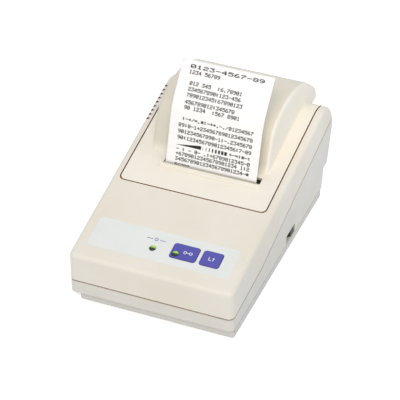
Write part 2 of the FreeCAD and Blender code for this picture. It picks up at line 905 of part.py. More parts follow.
def printer_cover():
    """Cover plate and roll housing in one moulding, with the hinge barrels and the paper slot."""
    inner = case_block("cover_inner", "cover_wall")
    column = cover_column("cover_column", "seam")
    floor = below_parting("cover_floor", "0")
    plate = cut("cover_plate", overlap("cover_solid", outer, column), inner, floor)
    housing = housing_block("housing_outer", "0")
    doc.recompute()
    ends = housing.Shape.BoundBox
    root = value("housing_root")

    def end_ridge(edge):
        flat = edge.BoundBox.XLength < 1e-6
        outer_end = edge.BoundBox.XMin < 1e-6 or edge.BoundBox.XMax > ends.XLength - 1e-6
        above = edge.BoundBox.ZMax > root + 1e-6
        return flat and outer_end and above and edge.BoundBox.ZMin > value("housing_bottom") - 1e-6

    soften(housing, "housing_ridges", "ridge_radius", end_ridge)
    box_above = cut("housing_shell", housing, inner, below_parting("housing_floor", "0"))
    lip = lip_bar()
    parts = [plate, box_above, lip]
    holes = [housing_block("housing_inner", "cover_wall")]
    slot = deck("slot_left", "slot_front", "-overrun/2")
    size = ("slot_right - slot_left", "slot_rear - slot_front", "overrun")
    holes.append(box("paper_slot", slot, size, "deck"))
    pocket = deck("slot_left - brow_margin/2", "slot_front - tear_depth", "tear_over")
    size = ("slot_right - slot_left + brow_margin", "tear_depth", "tear_thickness")
    holes.append(box("tear_pocket", pocket, size, "deck"))
    body = cut("cover_body", join("cover_mass", *parts), *holes, *hinge_relief("case_knuckle_room", False))
    knuckles = knuckle_row("cover_knuckle", True, "knuckle_radius")
    webs = []
    for side in (-1, 1):
        start = f"{side}*hinge_spread - knuckle_length/2"
        at = (start, "hinge_back - knuckle_radius + knuckle_inset", "hinge_height")
        size = ("knuckle_length", "knuckle_web", "knuckle_rise")
        webs.append(box(f"knuckle_web_{side + 1}", at, size))
    bore = rod("cover_pin_bore", hinge_start(), "pin_radius + fit", hinge_long())
    return node("printer_cover", cut("printer_cover", join("cover_hinged", body, *knuckles, *webs), bore))


def lip_bar():
    """Soft raised lip in front of the paper slot."""
    at = deck("slot_left - brow_margin", "slot_front - brow_lip", "-cover_wall/2")
    size = ("slot_right - slot_left + 2*brow_margin", "brow_lip", "brow_rise + cover_wall/2")
    body = slab("lip_bar", at, size, "lip_round", "deck")
    doc.recompute()
    top = value("brow_rise") + value("cover_wall") / 2

    def front_edge(edge):
        return edge.BoundBox.ZMin > top - 1e-6

    return soften(body, "lip_top", "lip_soft", front_edge)


def tear_bar():
    """Serrated strip held in the lip, with its teeth over the slot."""
    pitch = value("tear_pitch")
    left = value("slot_left") - value("brow_margin") / 2
    right = value("slot_right") + value("brow_margin") / 2
    depth = value("tear_depth")
    first = value("slot_left") + pitch / 2
    teeth = int((value("slot_right") - value("slot_left") - pitch) / pitch)
    outline = [(left, 0), (right, 0), (right, depth)]
    for tooth in reversed(range(teeth)):
        base = first + tooth * pitch
        outline += [(base + pitch, depth), (base + pitch / 2, depth + value("tear_tooth"))]
    outline += [(first, depth), (left, depth)]
    points = [FreeCAD.Vector(across, along, 0) for across, along in outline]
    face = Part.Face(Part.makePolygon(points + points[:1]))
    shape = face.extrude(FreeCAD.Vector(0, 0, value("tear_thickness")))
    at = deck("0", "slot_front - tear_depth", "tear_over")
    return node("tear_bar", solid("tear_bar", shape, at, "deck"))


def hinge_pins():
    """One pin through each hinge."""
    long = "2*knuckle_length + 2*knuckle_clear"
    pins = [
        rod(f"pin_{side + 1}", (f"{side}*hinge_spread - ({long})/2", "hinge_back", "hinge_height"),
            "pin_radius", long)
        for side in (-1, 1)
    ]
    return node("hinge_pins", group("hinge_pins", *pins))


# Control panel: label, keys, lamps and their board

def control_label():
    """Film label let into the deck, with openings for the keys and the power lamp."""
    at = deck("-label_width/2", "label_front", "-label_thickness")
    film = slab("label_film", at, ("label_width", "label_depth", "label_thickness"), "label_corner", "deck")
    holes = key_openings("label") + [lamp_hole("power_lamp_x", "label_lamp_hole")]
    return node("control_label", cut("control_label", film, *holes))


def key(name):
    """Keytop with a retaining rim under the deck and a stem down to its switch."""
    width = f"{name}_width"
    at = deck(f"{name}_left", "key_front", "key_proud - key_height")
    cap = slab(f"{name}_cap", at, (width, "key_depth", "key_height"), "key_corner", "deck")
    at = deck(f"{name}_left - key_rim", "key_front - key_rim", "key_proud - key_height - rim_thickness")
    size = (f"{width} + 2*key_rim", "key_depth + 2*key_rim", "rim_thickness")
    rim = slab(f"{name}_rim", at, size, "key_corner", "deck")
    spot = deck(*key_middle(name), "key_proud - key_height - rim_thickness - stem_length")
    stem = rod(f"{name}_stem", spot, "tact_plunger", "stem_length", "deck")
    whole = join(f"{name}_key_solid", cap, rim, stem)
    if name == "select":
        hole = rod("select_lamp_hole", deck("select_lamp_x", "lamp_up", "-overrun"),
                   "lamp_radius + key_gap", "2*overrun", "deck")
        whole = cut("select_key_cut", whole, hole)
    return node(f"{name}_key", whole)


def key_middle(name):
    return (f"{name}_left + {name}_width/2", "key_front + key_depth/2 + stem_back")


def lamp(name, across):
    """Round lamp standing on the panel board, its dome level with the key tops."""
    spot = deck(across, "lamp_up", "panel_top")
    stem = rod(f"{name}_stem", spot, "lamp_radius", "-panel_top + lamp_proud", "deck")
    spot = deck(across, "lamp_up", "panel_top")
    collar = rod(f"{name}_collar", spot, "lamp_radius + lamp_collar", "lamp_collar_height", "deck")
    return node(name, join(name, stem, collar))


def panel_board():
    """Board under the keys, screwed to two posts of the upper case."""
    at = deck("panel_left", "panel_up", "panel_top - board_thickness")
    size = ("panel_width", "panel_depth", "board_thickness")
    board = slab("panel_sheet", at, size, "board_corner", "deck")
    holes = []
    screws = []
    for side in (-1, 1):
        at = deck(panel_post_x(side), "panel_post_up", "panel_top - overrun/2")
        holes.append(rod(f"panel_board_hole_{side + 1}", at, "panel_screw + fit", "overrun", "deck"))
        at = deck(panel_post_x(side), "panel_post_up", "panel_top - board_thickness - small_head")
        long = "board_thickness + panel_screw_depth"
        screws.append(small_screw(f"panel_screw_{side + 1}", at, "panel_screw", long, "deck"))
    node("panel_board", cut("panel_board", board, *holes))
    node("panel_screws", group("panel_screws", *screws))
    housings = []
    for name in ("select", "feed"):
        across, along = key_middle(name)
        at = deck(f"{across} - tact_side/2", f"{along} - tact_side/2", "panel_top")
        size = ("tact_side", "tact_side", "tact_height")
        block = slab(f"{name}_switch_block", at, size, "tact_corner", "deck")
        spot = deck(across, along, "panel_top + tact_floor")
        well = rod(f"{name}_switch_well", spot, "tact_plunger + fit", "tact_height", "deck")
        housings.append(cut(f"{name}_switch", block, well))
    node("key_switches", group("key_switches", *housings))


def small_screw(name, at, radius, length, turn):
    """Round-headed screw pointing away from its head, along the turned Z."""
    head = rod(f"{name}_head", at, "small_head_radius", "small_head", turn)
    shank = doc.addObject("Part::Cylinder", f"{name}_shank")
    bind(shank, Radius=radius, Height=f"small_head + {length}")
    place(shank, at, turn)
    return join(name, head, shank)


# Paper: roll, spindle, bay, the web through the mechanism and the printed strip

def roll_left():
    return "(paper_middle - paper_width/2)"


def paper_roll():
    """Roll of paper on its core, and the spindle that carries it in the bay."""
    spot = (roll_left(), "roll_back", "roll_height")
    paper = rod("roll_paper", spot, "roll_radius", "paper_width")
    node("paper_roll", cut("paper_roll", paper, rod("roll_eye", spot, "core_radius", "paper_width")))
    tube = rod("core_tube", spot, "core_radius", "paper_width")
    node("roll_core", cut("roll_core", tube, rod("core_eye", spot, "core_bore", "paper_width")))
    wide = "(paper_width + 2*bay_side_gap - 2*spindle_play)"
    start = f"{roll_left()} - bay_side_gap + spindle_play"
    shaft = rod("spindle_shaft", (start, "roll_back", "roll_height"), "spindle_radius", wide)
    start = f"{roll_left()} - bay_side_gap - bay_wall"
    ends = rod("spindle_ends", (start, "roll_back", "roll_height"), "spindle_end",
               "paper_width + 2*bay_side_gap + 2*bay_wall")
    node("roll_spindle", join("roll_spindle", shaft, ends))


def roll_bay():
    """Trough under the roll between two cheeks that carry the spindle and stand on the floor."""
    inside = "(roll_radius + bay_clear)"
    wide = "paper_width + 2*bay_side_gap"
    left = f"{roll_left()} - bay_side_gap"
    spot = (left, "roll_back", "roll_height")
    drum = rod("bay_drum", spot, f"{inside} + bay_wall", wide)
    room = rod("bay_room", spot, inside, wide)
    at = (f"{left} - overrun", "bay_front", f"roll_height - {inside} - 2*bay_wall")
    size = (f"{wide} + 2*overrun", "bay_back - bay_front", f"{inside} + 2*bay_wall - bay_dip")
    trough = cut("bay_trough", overlap("bay_arc", drum, box("bay_limits", at, size)), room)
    parts = [trough]
    holes = []
    for side, start in enumerate((f"{left} - bay_wall", f"{left} + {wide}")):
        cheek = [
            ("bay_foot_front", FLOOR),
            ("bay_foot_front", "bay_shoulder"),
            ("bay_front", "bay_top"),
            ("bay_back", "bay_top"),
            ("bay_back", "bay_shoulder"),
            ("bay_foot_rear", "bay_shoulder"),
            ("bay_foot_rear", FLOOR),
        ]
        parts.append(prism(f"bay_cheek_{side}", cheek, "bay_wall", at=(start, 0, 0)))
        spot = (start, "roll_back", "roll_height")
        holes.append(rod(f"spindle_seat_{side}", spot, "spindle_end + fit", "bay_wall"))
        at = (start, "roll_back - spindle_end - fit", "roll_height")
        holes.append(box(f"spindle_way_{side}", at, ("bay_wall", "2*(spindle_end + fit)", "overrun")))
    node("roll_bay", cut("roll_bay", join("bay_solid", *parts), *holes))


def web_outline():
    """Paper from the roll to under the slot: round the feed roller, then up the print line."""
    slope = math.radians(value("deck_slope"))
    front = value("case_front")
    high = value("front_height")
    gap = value("paper_gap")
    thick = value("paper_thickness")
    feed = value("feed_radius")
    up = value("paper_line") + thick + gap + feed
    over = value("feed_over")

    def world(along, above):
        return FreeCAD.Vector(
            0,
            front + along * math.cos(slope) - above * math.sin(slope),
            high + along * math.sin(slope) + above * math.cos(slope),
        )

    hub = world(up, over)
    roll = FreeCAD.Vector(0, value("roll_back"), value("roll_height"))
    line = roll - hub
    aim = math.atan2(line.z, line.y)

    def sides(small, big):
        """Ends of the straight run that touches both rounds from below."""
        turn = aim - math.asin((big - small) / line.Length)
        down = FreeCAD.Vector(0, math.sin(turn), -math.cos(turn))
        return hub + down * small, roll + down * big, turn

    inner, outer_radius = feed + gap, feed + gap + thick
    away = value("roll_radius") + value("web_clear")
    near_low, far_low, turn = sides(outer_radius, away + thick)
    near_high, far_high, _ = sides(inner, away)
    run = FreeCAD.Vector(0, math.cos(turn), math.sin(turn))
    short = value("web_cut")
    far_low, far_high = far_low - run * short, far_high - run * short

    def bend(radius):
        middle = slope + math.pi + (turn - math.pi / 2 - slope - math.pi + 2 * math.pi) / 2
        return hub + FreeCAD.Vector(0, math.cos(middle), math.sin(middle)) * radius

    top = value("web_top")
    left_low = world(value("paper_line"), over)
    right_low = world(value("paper_line") + thick, over)
    left_top = world(value("paper_line"), top)
    right_top = world(value("paper_line") + thick, top)
    edges = [
        Part.LineSegment(far_low, near_low),
        Part.Arc(near_low, bend(outer_radius), left_low),
        Part.LineSegment(left_low, left_top),
        Part.LineSegment(left_top, right_top),
        Part.LineSegment(right_top, right_low),
        Part.Arc(right_low, bend(inner), near_high),
        Part.LineSegment(near_high, far_high),
        Part.LineSegment(far_high, far_low),
    ]
    return Part.Face(Part.Wire([edge.toShape() for edge in edges]))


def paper_web():
    """The inner run of paper."""
    shape = web_outline().extrude(X_AXIS * value("paper_width"))
    return node("paper_web", solid("paper_web", shape, (roll_left(), 0, 0)))


def receipt_strip():
    """Printed strip that stands out of the slot: straight at first, then curling to the rear."""
    lean = math.radians(value("strip_lean"))
    sweep = math.radians(value("strip_curl_angle")) - lean
    thick = FreeCAD.Vector(0, math.cos(lean), -math.sin(lean)) * value("paper_thickness")
    rise = FreeCAD.Vector(0, math.sin(lean), math.cos(lean))
    back = FreeCAD.Vector(0, math.cos(lean), -math.sin(lean))
    knee = rise * value("strip_straight")
    hub = knee + back * value("strip_curl")

    def round_the_hub(angle, radius):
        return hub + (rise * math.sin(angle) - back * math.cos(angle)) * radius

    outer_arc = value("strip_curl")
    inner_arc = outer_arc - value("paper_thickness")
    start = FreeCAD.Vector(0, 0, 0)
    tail = (rise * math.cos(sweep) + back * math.sin(sweep)) * value("strip_tail")
    bend_top = round_the_hub(sweep, outer_arc)
    bend_foot = round_the_hub(sweep, inner_arc)
    edges = [
        Part.LineSegment(start, knee),
        Part.Arc(knee, round_the_hub(sweep / 2, outer_arc), bend_top),
        Part.LineSegment(bend_top, bend_top + tail),
        Part.LineSegment(bend_top + tail, bend_foot + tail),
        Part.LineSegment(bend_foot + tail, bend_foot),
        Part.Arc(bend_foot, round_the_hub(sweep / 2, inner_arc), knee + thick),
        Part.LineSegment(knee + thick, start + thick),
        Part.LineSegment(start + thick, start),
    ]
    face = Part.Face(Part.Wire([edge.toShape() for edge in edges]))
    shape = face.extrude(X_AXIS * value("paper_width"))
    foot = deck(roll_left(), "slot_front + tear_tooth + paper_gap - strip_tuck", "strip_foot")
    return node("receipt_strip", solid("receipt_strip", shape, foot))


# Boards, connectors and the power switch

def main_board():
    """Main board on its four posts, with its chips, screws and rear connectors."""
    at = ("board_left", "board_front", "board_height")
    size = ("board_right - board_left", "board_rear - board_front", "board_thickness")
    sheet_of_board = slab("board_sheet", at, size, "board_corner")
    holes = []
    left = f"{roll_left()} - bay_side_gap"
    for side, start in enumerate((f"{left} - bay_wall", f"{left} + paper_width + 2*bay_side_gap")):
        at = (f"{start} - board_gap", "bay_foot_front - board_gap", "board_height - overrun/2")
        size = ("bay_wall + 2*board_gap", "bay_foot_rear - bay_foot_front + 2*board_gap", "overrun")
        holes.append(box(f"cheek_slot_{side}", at, size))
    screws = []
    for count, (across, along) in enumerate(board_places()):
        spot = (across, along, "board_height - overrun/2")
        holes.append(rod(f"board_bore_{count}", spot, "board_screw + fit", "overrun", "level"))
        spot = (across, along, "board_height + board_thickness")
        head = rod(f"board_head_{count}", spot, "small_head_radius", "small_head", "level")
        spot = (across, along, "board_height - board_screw_depth + fit")
        deep = "board_screw_depth + board_thickness"
        shank = rod(f"board_shank_{count}", spot, "board_screw", deep, "level")
        screws.append(join(f"board_screw_{count}", head, shank))
    node("main_board", cut("main_board", sheet_of_board, *holes))
    node("board_screws", group("board_screws", *screws))
    top = "board_height + board_thickness"
    large = ("chip_side", "chip_side", "chip_height")
    small = ("chip_side/2", "chip_side", "chip_height")
    chips = [
        slab("processor", ("chip_left", "chip_front", top), large, "fit"),
        slab("driver", ("chip_left + chip_side + chip_space", "chip_front", top), small, "fit"),
        rod("capacitor", ("chip_left - chip_space", "chip_front", top), "capacitor_radius",
            "capacitor_height", "level"),
    ]
    node("board_chips", group("board_chips", *chips))


def interface_connector():
    """D-shaped socket at the rear: insulator on the board, flange and shell through the wall."""
    top = "board_height + board_thickness"
    low = "shell_bottom + shell_height/2 - flange_height/2"
    at = ("connector_x - flange_width/2", "board_rear + fit", low)
    flange = slab("connector_flange", at, ("flange_width", "flange_thickness", "flange_height"), "fit")
    at = ("connector_x - shell_width/2", "board_rear + fit", "shell_bottom")
    size = ("shell_width", "flange_thickness + shell_length", "shell_height")
    shell = slab("connector_shell", at, size, "fit")
    at = ("connector_x - flange_width/2", "board_rear - connector_depth", top)
    block = box("connector_block", at, ("flange_width", "connector_depth + fit", "connector_tall"))
    whole = join("connector_solid", flange, shell, block)
    middle = "shell_bottom + shell_height/2"
    holes = []
    posts = []
    for side in (-1, 1):
        across = f"connector_x + {side}*post_spacing/2"
        spot = (across, "board_rear - jack_post_grip", middle)
        holes.append(rod(f"post_bore_{side + 1}", spot, "jack_thread", "overrun", "along_y"))
        long = "jack_post_grip + fit + flange_thickness"
        stud = rod(f"post_stud_{side + 1}", spot, "jack_thread", long, "along_y")
        spot = (across, "board_rear + fit + flange_thickness", middle)
        post = rod(f"post_hex_{side + 1}", spot, "jack_post", "jack_post_length", "along_y")
        spot = (across, "board_rear + fit + flange_thickness + jack_post_length - jack_hole_depth", middle)
        hole = rod(f"post_thread_{side + 1}", spot, "jack_thread", "overrun", "along_y")
        posts.append(cut(f"jack_post_{side + 1}", join(f"post_solid_{side + 1}", stud, post), hole))
    node("interface_connector", cut("interface_connector", whole, *holes))
    node("connector_posts", group("connector_posts", *posts))


def dc_jack():
    """Barrel jack on the board's rear edge, its mouth in the rear wall."""
    at = ("jack_x - jack_width/2", "board_rear - jack_depth", "board_height + board_thickness")
    block = box("jack_block", at, ("jack_width", "jack_depth", "jack_tall"))
    spot = ("jack_x", "board_rear", "jack_middle")
    barrel = rod("jack_barrel_solid", spot, "jack_barrel", "jack_reach", "along_y")
    spot = ("jack_x", "board_rear + jack_reach - jack_bore_depth", "jack_middle")
    mouth = rod("jack_mouth", spot, "jack_bore", "overrun", "along_y")
    pin = rod("jack_pin", spot, "jack_pin_radius", "jack_bore_depth - jack_pin_sink", "along_y")
    node("dc_jack", join("dc_jack", cut("jack_shell", join("jack_solid", block, barrel), mouth), pin))


def power_switch():
    """Slide switch behind the right wall: body, and a knob that slides along the window."""
    left = f"{INNER_SIDE} - switch_body_depth"
    at = (left, "switch_front - switch_margin", "switch_bottom - switch_margin")
    size = ("switch_body_depth", "switch_length + 2*switch_margin", "switch_height + 2*switch_margin")
    body = box("switch_block", at, size)
    at = (f"{INNER_SIDE} - switch_well", "switch_front", "switch_bottom")
    well = box("switch_well_room", at, ("switch_well", "switch_length", "switch_height"))
    node("power_switch", cut("power_switch", body, well))
    at = (f"{INNER_SIDE} - switch_well + knob_gap", "switch_front + switch_length - switch_knob - knob_gap",
          "switch_bottom + knob_gap")
    size = ("switch_well - knob_gap + wall - switch_recess", "switch_knob", "switch_height - 2*knob_gap")
    node("switch_knob", slab("switch_knob_body", at, size, "knob_round"))


# Print mechanism, built square to the deck

def hub_of_feed():
    """Distance up the deck of the feed roller's axis, behind the print line."""
    return "(paper_line + paper_thickness + paper_gap + feed_radius)"


def hub_of_drum():
    return f"({hub_of_feed()} - gear_module*(drum_teeth + feed_teeth)/2)"


def hub_of_motor():
    reach = "(gear_module*(drum_teeth + pinion_teeth)/2)"
    return f"({hub_of_drum()} - sqrt({reach}^2 - (motor_over - feed_over)^2))"


def hub_of_pinch():
    return "(paper_line - paper_gap - pinch_radius)"


def shaft_holes(tag):
    """Bores of both side plates for every shaft of the mechanism."""
    start = "-mech_width/2 - overrun"
    long = "mech_width + 2*overrun"
    spots = {
        "drum": (hub_of_drum(), "feed_over", "shaft_radius + fit"),
        "feed": (hub_of_feed(), "feed_over", "shaft_radius + fit"),
        "pinch": (hub_of_pinch(), "feed_over", "pinch_shaft + fit"),
        "guide_low": ("guide_low", "guide_over", "guide_radius"),
        "guide_high": ("guide_high", "guide_over", "guide_radius"),
    }
    rooms = [
        rod(f"{name}_{tag}", deck(start, up, over), radius, long)
        for name, (up, over, radius) in spots.items()
    ]
    spot = deck(start, hub_of_motor(), "motor_over")
    rooms.append(rod(f"motor_{tag}", spot, "motor_shaft + knob_gap", "overrun + mech_plate*2"))
    return rooms


def mech_frame():
    """Folded frame: base plate, two side plates with the bearings, and a front cross bar."""
    left = "-mech_width/2"
    at = deck(left, "mech_low", "mech_bottom")
    parts = [box("mech_base", at, ("mech_width", "mech_base_depth", "mech_plate"), "deck")]
    for side, start in enumerate((left, "mech_width/2 - mech_plate")):
        at = deck(start, "mech_low", "mech_bottom")
        parts.append(box(f"mech_side_{side}", at, ("mech_plate", "mech_depth", "mech_height"), "deck"))
    at = deck(left, "mech_low", "mech_bottom")
    parts.append(box("mech_front", at, ("mech_width", "mech_plate", "mech_front_height"), "deck"))
    holes = shaft_holes("bore")
    screws = []
    for count, (across, up) in enumerate(mech_places()):
        spot = deck(across, up, "mech_bottom - overrun/2")
        holes.append(rod(f"mech_bore_{count}", spot, "board_screw + fit", "overrun", "deck"))
        head = rod(f"mech_head_{count}", deck(across, up, "mech_bottom + mech_plate"),
                   "small_head_radius", "small_head", "deck")
        shank = rod(f"mech_shank_{count}", deck(across, up, "mech_bottom - mech_screw_depth + fit"),
                    "board_screw", "mech_screw_depth + mech_plate", "deck")
        screws.append(join(f"mech_screw_{count}", head, shank))
    node("mech_frame", cut("mech_frame", join("mech_sheet", *parts), *holes))
    node("mech_screws", group("mech_screws", *screws))


def gear_shape(teeth, bore, phase):
    """Spur gear with involute flanks; the phase turns it about its own axis."""
    module = value("gear_module")
    pitch = module * teeth / 2
    base = pitch * math.cos(math.radians(value("pressure_angle")))
    tip = pitch + module * value("addendum")
    root = pitch - module * value("dedendum")
    steps = int(value("flank_steps"))

    def involute(radius):
        angle = math.acos(min(1.0, base / radius))
        return math.tan(angle) - angle

    half_tooth = (math.pi * module / 2 - value("backlash")) / (2 * pitch) + involute(pitch)
    start = max(base, root)
    points = []
    for tooth in range(teeth):
        middle = phase + 2 * math.pi * tooth / teeth
        flank = [(root, half_tooth)] if root < start else []
        for step in range(steps + 1):
            radius = start + (tip - start) * step / steps
            flank.append((radius, half_tooth - involute(radius)))
        points += [(radius, middle - half) for radius, half in flank]
        points += [(radius, middle + half) for radius, half in reversed(flank)]
    corners = [FreeCAD.Vector(0, r * math.cos(a), r * math.sin(a)) for r, a in points]
    disc = Part.Face(Part.makePolygon(corners + corners[:1])).extrude(X_AXIS * value("gear_width"))
    return disc.cut(Part.makeCylinder(bore, value("gear_width"), FreeCAD.Vector(), X_AXIS))


def meshed_phase(phase, teeth, other_teeth, direction):
    """Phase of a gear that meshes with another one, lying in a direction from it."""
    return direction + math.pi - (math.pi - (direction - phase) * teeth) / other_teeth


def gear_train():
    """Drum gear, the feed gear behind it and the motor pinion in front of it."""
    drum_teeth = int(value("drum_teeth"))
    feed_teeth = int(value("feed_teeth"))
    pinion_teeth = int(value("pinion_teeth"))
    reach = value("gear_module") * (drum_teeth + pinion_teeth) / 2
    rise = value("motor_over") - value("feed_over")
    slope = math.radians(value("deck_slope"))
    to_motor = math.pi - math.asin(rise / reach)
    plan = {
        "drum_gear": (drum_teeth, "shaft_radius", 0.0, hub_of_drum(), "feed_over"),
        "feed_gear": (feed_teeth, "shaft_radius", meshed_phase(0.0, drum_teeth, feed_teeth, 0.0),
                      hub_of_feed(), "feed_over"),
        "pinion": (pinion_teeth, "motor_shaft", meshed_phase(0.0, drum_teeth, pinion_teeth, to_motor),
                   hub_of_motor(), "motor_over"),
    }
    for name, (teeth, bore, phase, up, over) in plan.items():
        spot = deck("-mech_width/2 - gear_gap - gear_width", up, over)
        node(name, solid(name, gear_shape(teeth, value(bore), phase + slope), spot))


def shafts_and_rollers():
    """Everything that turns or slides between the side plates."""
    left = "(-mech_width/2 - gear_gap - gear_width)"
    long = "mech_width + 2*gear_gap + gear_width"
    inside = "mech_width/2 - mech_plate"
    drum_shaft = rod("drum_shaft", deck(left, hub_of_drum(), "feed_over"), "shaft_radius", long)
    barrel = rod("drum_barrel", deck(f"-({inside} - end_play)", hub_of_drum(), "feed_over"),
                 "drum_radius", f"2*({inside} - end_play)")
    node("cam_drum", join("cam_drum", drum_shaft, barrel))
    node("feed_shaft", rod("feed_shaft", deck(left, hub_of_feed(), "feed_over"), "shaft_radius", long))
    spot = deck("paper_middle - feed_length/2", hub_of_feed(), "feed_over")
    tube = rod("feed_tube", spot, "feed_radius", "feed_length")
    node("feed_roller", cut("feed_roller", tube, rod("feed_eye", spot, "shaft_radius", "feed_length")))
    spot = deck("paper_middle - feed_length/2", hub_of_pinch(), "feed_over")
    tube = rod("pinch_tube", spot, "pinch_radius", "feed_length")
    ends = rod("pinch_ends", deck("-mech_width/2", hub_of_pinch(), "feed_over"), "pinch_shaft", "mech_width")
    node("pinch_roller", join("pinch_roller", tube, ends))
    guides = [
        rod(f"guide_{up}", deck("-mech_width/2", up, "guide_over"), "guide_radius", "mech_width")
        for up in ("guide_low", "guide_high")
    ]
    node("guide_shafts", group("guide_shafts", *guides))
    at = deck(f"-({inside})", "paper_line + paper_thickness + paper_gap", "platen_over")
    node("platen", box("platen", at, (f"2*({inside})", "platen_depth", "platen_height"), "deck"))


def motor():
    """Motor can on the left plate, and the shaft that carries the pinion."""
    start = "-mech_width/2 + mech_plate"
    spot = deck(start, hub_of_motor(), "motor_over")
    can = rod("motor_can", spot, "motor_radius", "motor_length")
    node("motor", cut("motor", can, rod("motor_eye", spot, "motor_shaft + fit", "motor_grip")))
    spot = deck("-mech_width/2 - gear_gap - gear_width", hub_of_motor(), "motor_over")
    long = "gear_gap + gear_width + mech_plate + motor_grip - knob_gap"
    node("motor_shaft", rod("motor_spindle", spot, "motor_shaft", long))


def print_head():
    """Needle block that shuttles along the two guide shafts."""
    at = deck("paper_middle - head_width/2 - head_travel/2", "head_front", "head_over")
    block = box("head_block", at, ("head_width", "head_depth", "head_height"), "deck")
    at = deck("paper_middle - head_width/2 - head_travel/2", "head_front + head_depth", "nose_over")
    nose = box("head_nose", at, ("head_width", "nose_length", "nose_height"), "deck")
    holes = [
        rod(f"head_{up}", deck("-mech_width", up, "guide_over"), "guide_radius + fit", "2*mech_width")
        for up in ("guide_low", "guide_high")
    ]
    node("print_head", cut("print_head", join("head_solid", block, nose), *holes))


def ribbon():
    """Ribbon cassette over the head, its two arms, the ribbon between them and the knob."""
    at = deck("-cassette_width/2", "cassette_low", "cassette_over")
    size = ("cassette_width", "cassette_depth", "cassette_height")
    tray = slab("cassette_tray", at, size, "board_corner", "deck")
    arms = []
    for side, start in enumerate(("-cassette_width/2", "cassette_width/2 - arm_width")):
        at = deck(start, "arm_low", "cassette_over - arm_drop")
        size = ("arm_width", "arm_high - arm_low", "arm_drop + fit")
        arms.append(box(f"arm_bar_{side}", at, size, "deck"))
        at = deck(start, "arm_high - arm_tip", "cassette_over - arm_reach")
        arms.append(box(f"arm_tip_{side}", at, ("arm_width", "arm_tip", "arm_reach"), "deck"))
    spot = deck("knob_x", "knob_up", "cassette_over + knob_floor")
    well = rod("knob_well", spot, "knob_stem + fit", "cassette_height", "deck")
    node("ribbon_cassette", cut("ribbon_cassette", join("cassette_solid", tray, *arms), well))
    at = deck("-cassette_width/2 + arm_width/2", "arm_high", "cassette_over - arm_reach + ribbon_inset")
    band = ("cassette_width - arm_width", "ribbon_thickness", "arm_reach - 2*ribbon_inset")
    node("ink_ribbon", box("ink_ribbon", at, band, "deck"))
    stem = rod("knob_stem_solid", spot, "knob_stem", "cassette_height - knob_floor + fit", "deck")
    spot = deck("knob_x", "knob_up", "cassette_over + cassette_height + fit")
    disc = rod("knob_disc", spot, "knob_radius", "knob_height", "deck")
    node("ribbon_knob", join("ribbon_knob", stem, disc))


lower_case()
upper_case()
rubber_feet()
case_screws()
printer_cover()
tear_bar()
hinge_pins()
control_label()
key("select")
key("feed")
lamp("power_lamp", "power_lamp_x")
lamp("select_lamp", "select_lamp_x")
panel_board()
paper_roll()
roll_bay()
paper_web()
receipt_strip()
main_board()
interface_connector()
dc_jack()
power_switch()
mech_frame()
gear_train()
shafts_and_rollers()
motor()
print_head()
ribbon()

doc.recompute()
for item in doc.Objects:
    if {"Invalid", "Error"} & set(item.State):
        raise RuntimeError(f"{item.Label} failed: {item.State}")
for item in nodes:
    if item.Shape.isNull() or not item.Shape.isValid():
        raise RuntimeError(f"{item.Label} has no valid shape")

os.makedirs("parts", exist_ok=True)
for item in nodes:
    item.Shape.exportStep(f"parts/{item.Label}.step")
    print(f"{item.Label}: {len(item.Shape.Solids)} solids, {item.Shape.Volume:.1f} mm3")
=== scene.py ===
import math

import bmesh
import bpy
from mathutils import Matrix, Vector


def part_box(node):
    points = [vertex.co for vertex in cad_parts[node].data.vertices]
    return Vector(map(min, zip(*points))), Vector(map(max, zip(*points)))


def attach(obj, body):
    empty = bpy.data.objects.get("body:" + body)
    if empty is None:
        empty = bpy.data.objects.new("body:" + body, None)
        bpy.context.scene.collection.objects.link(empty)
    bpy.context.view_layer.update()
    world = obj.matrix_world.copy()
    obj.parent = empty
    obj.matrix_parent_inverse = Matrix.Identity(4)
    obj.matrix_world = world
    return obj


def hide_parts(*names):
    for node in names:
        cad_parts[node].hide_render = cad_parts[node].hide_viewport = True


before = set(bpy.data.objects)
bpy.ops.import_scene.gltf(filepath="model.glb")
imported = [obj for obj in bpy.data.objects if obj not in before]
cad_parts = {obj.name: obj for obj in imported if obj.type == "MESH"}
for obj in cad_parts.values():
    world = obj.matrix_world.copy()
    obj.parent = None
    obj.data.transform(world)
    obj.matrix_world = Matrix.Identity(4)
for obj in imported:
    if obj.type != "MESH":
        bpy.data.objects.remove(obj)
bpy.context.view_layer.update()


# ---- Lower case and upper case -----------------------------------------------------------
# The two halves of the body are injection moulded in cream ABS with a fine spark-eroded
# grain. The upper half drops over a lip on the lower one, and four screws hold them.
def tone(red, green, blue):
    """A paint-chart colour, 0 to 255, as the linear colour that a shader wants."""
    def linear(value):
        part = value / 255
        return part / 12.92 if part <= 0.04045 else ((part + 0.055) / 1.055) ** 2.4
    return (linear(red), linear(green), linear(blue), 1.0)


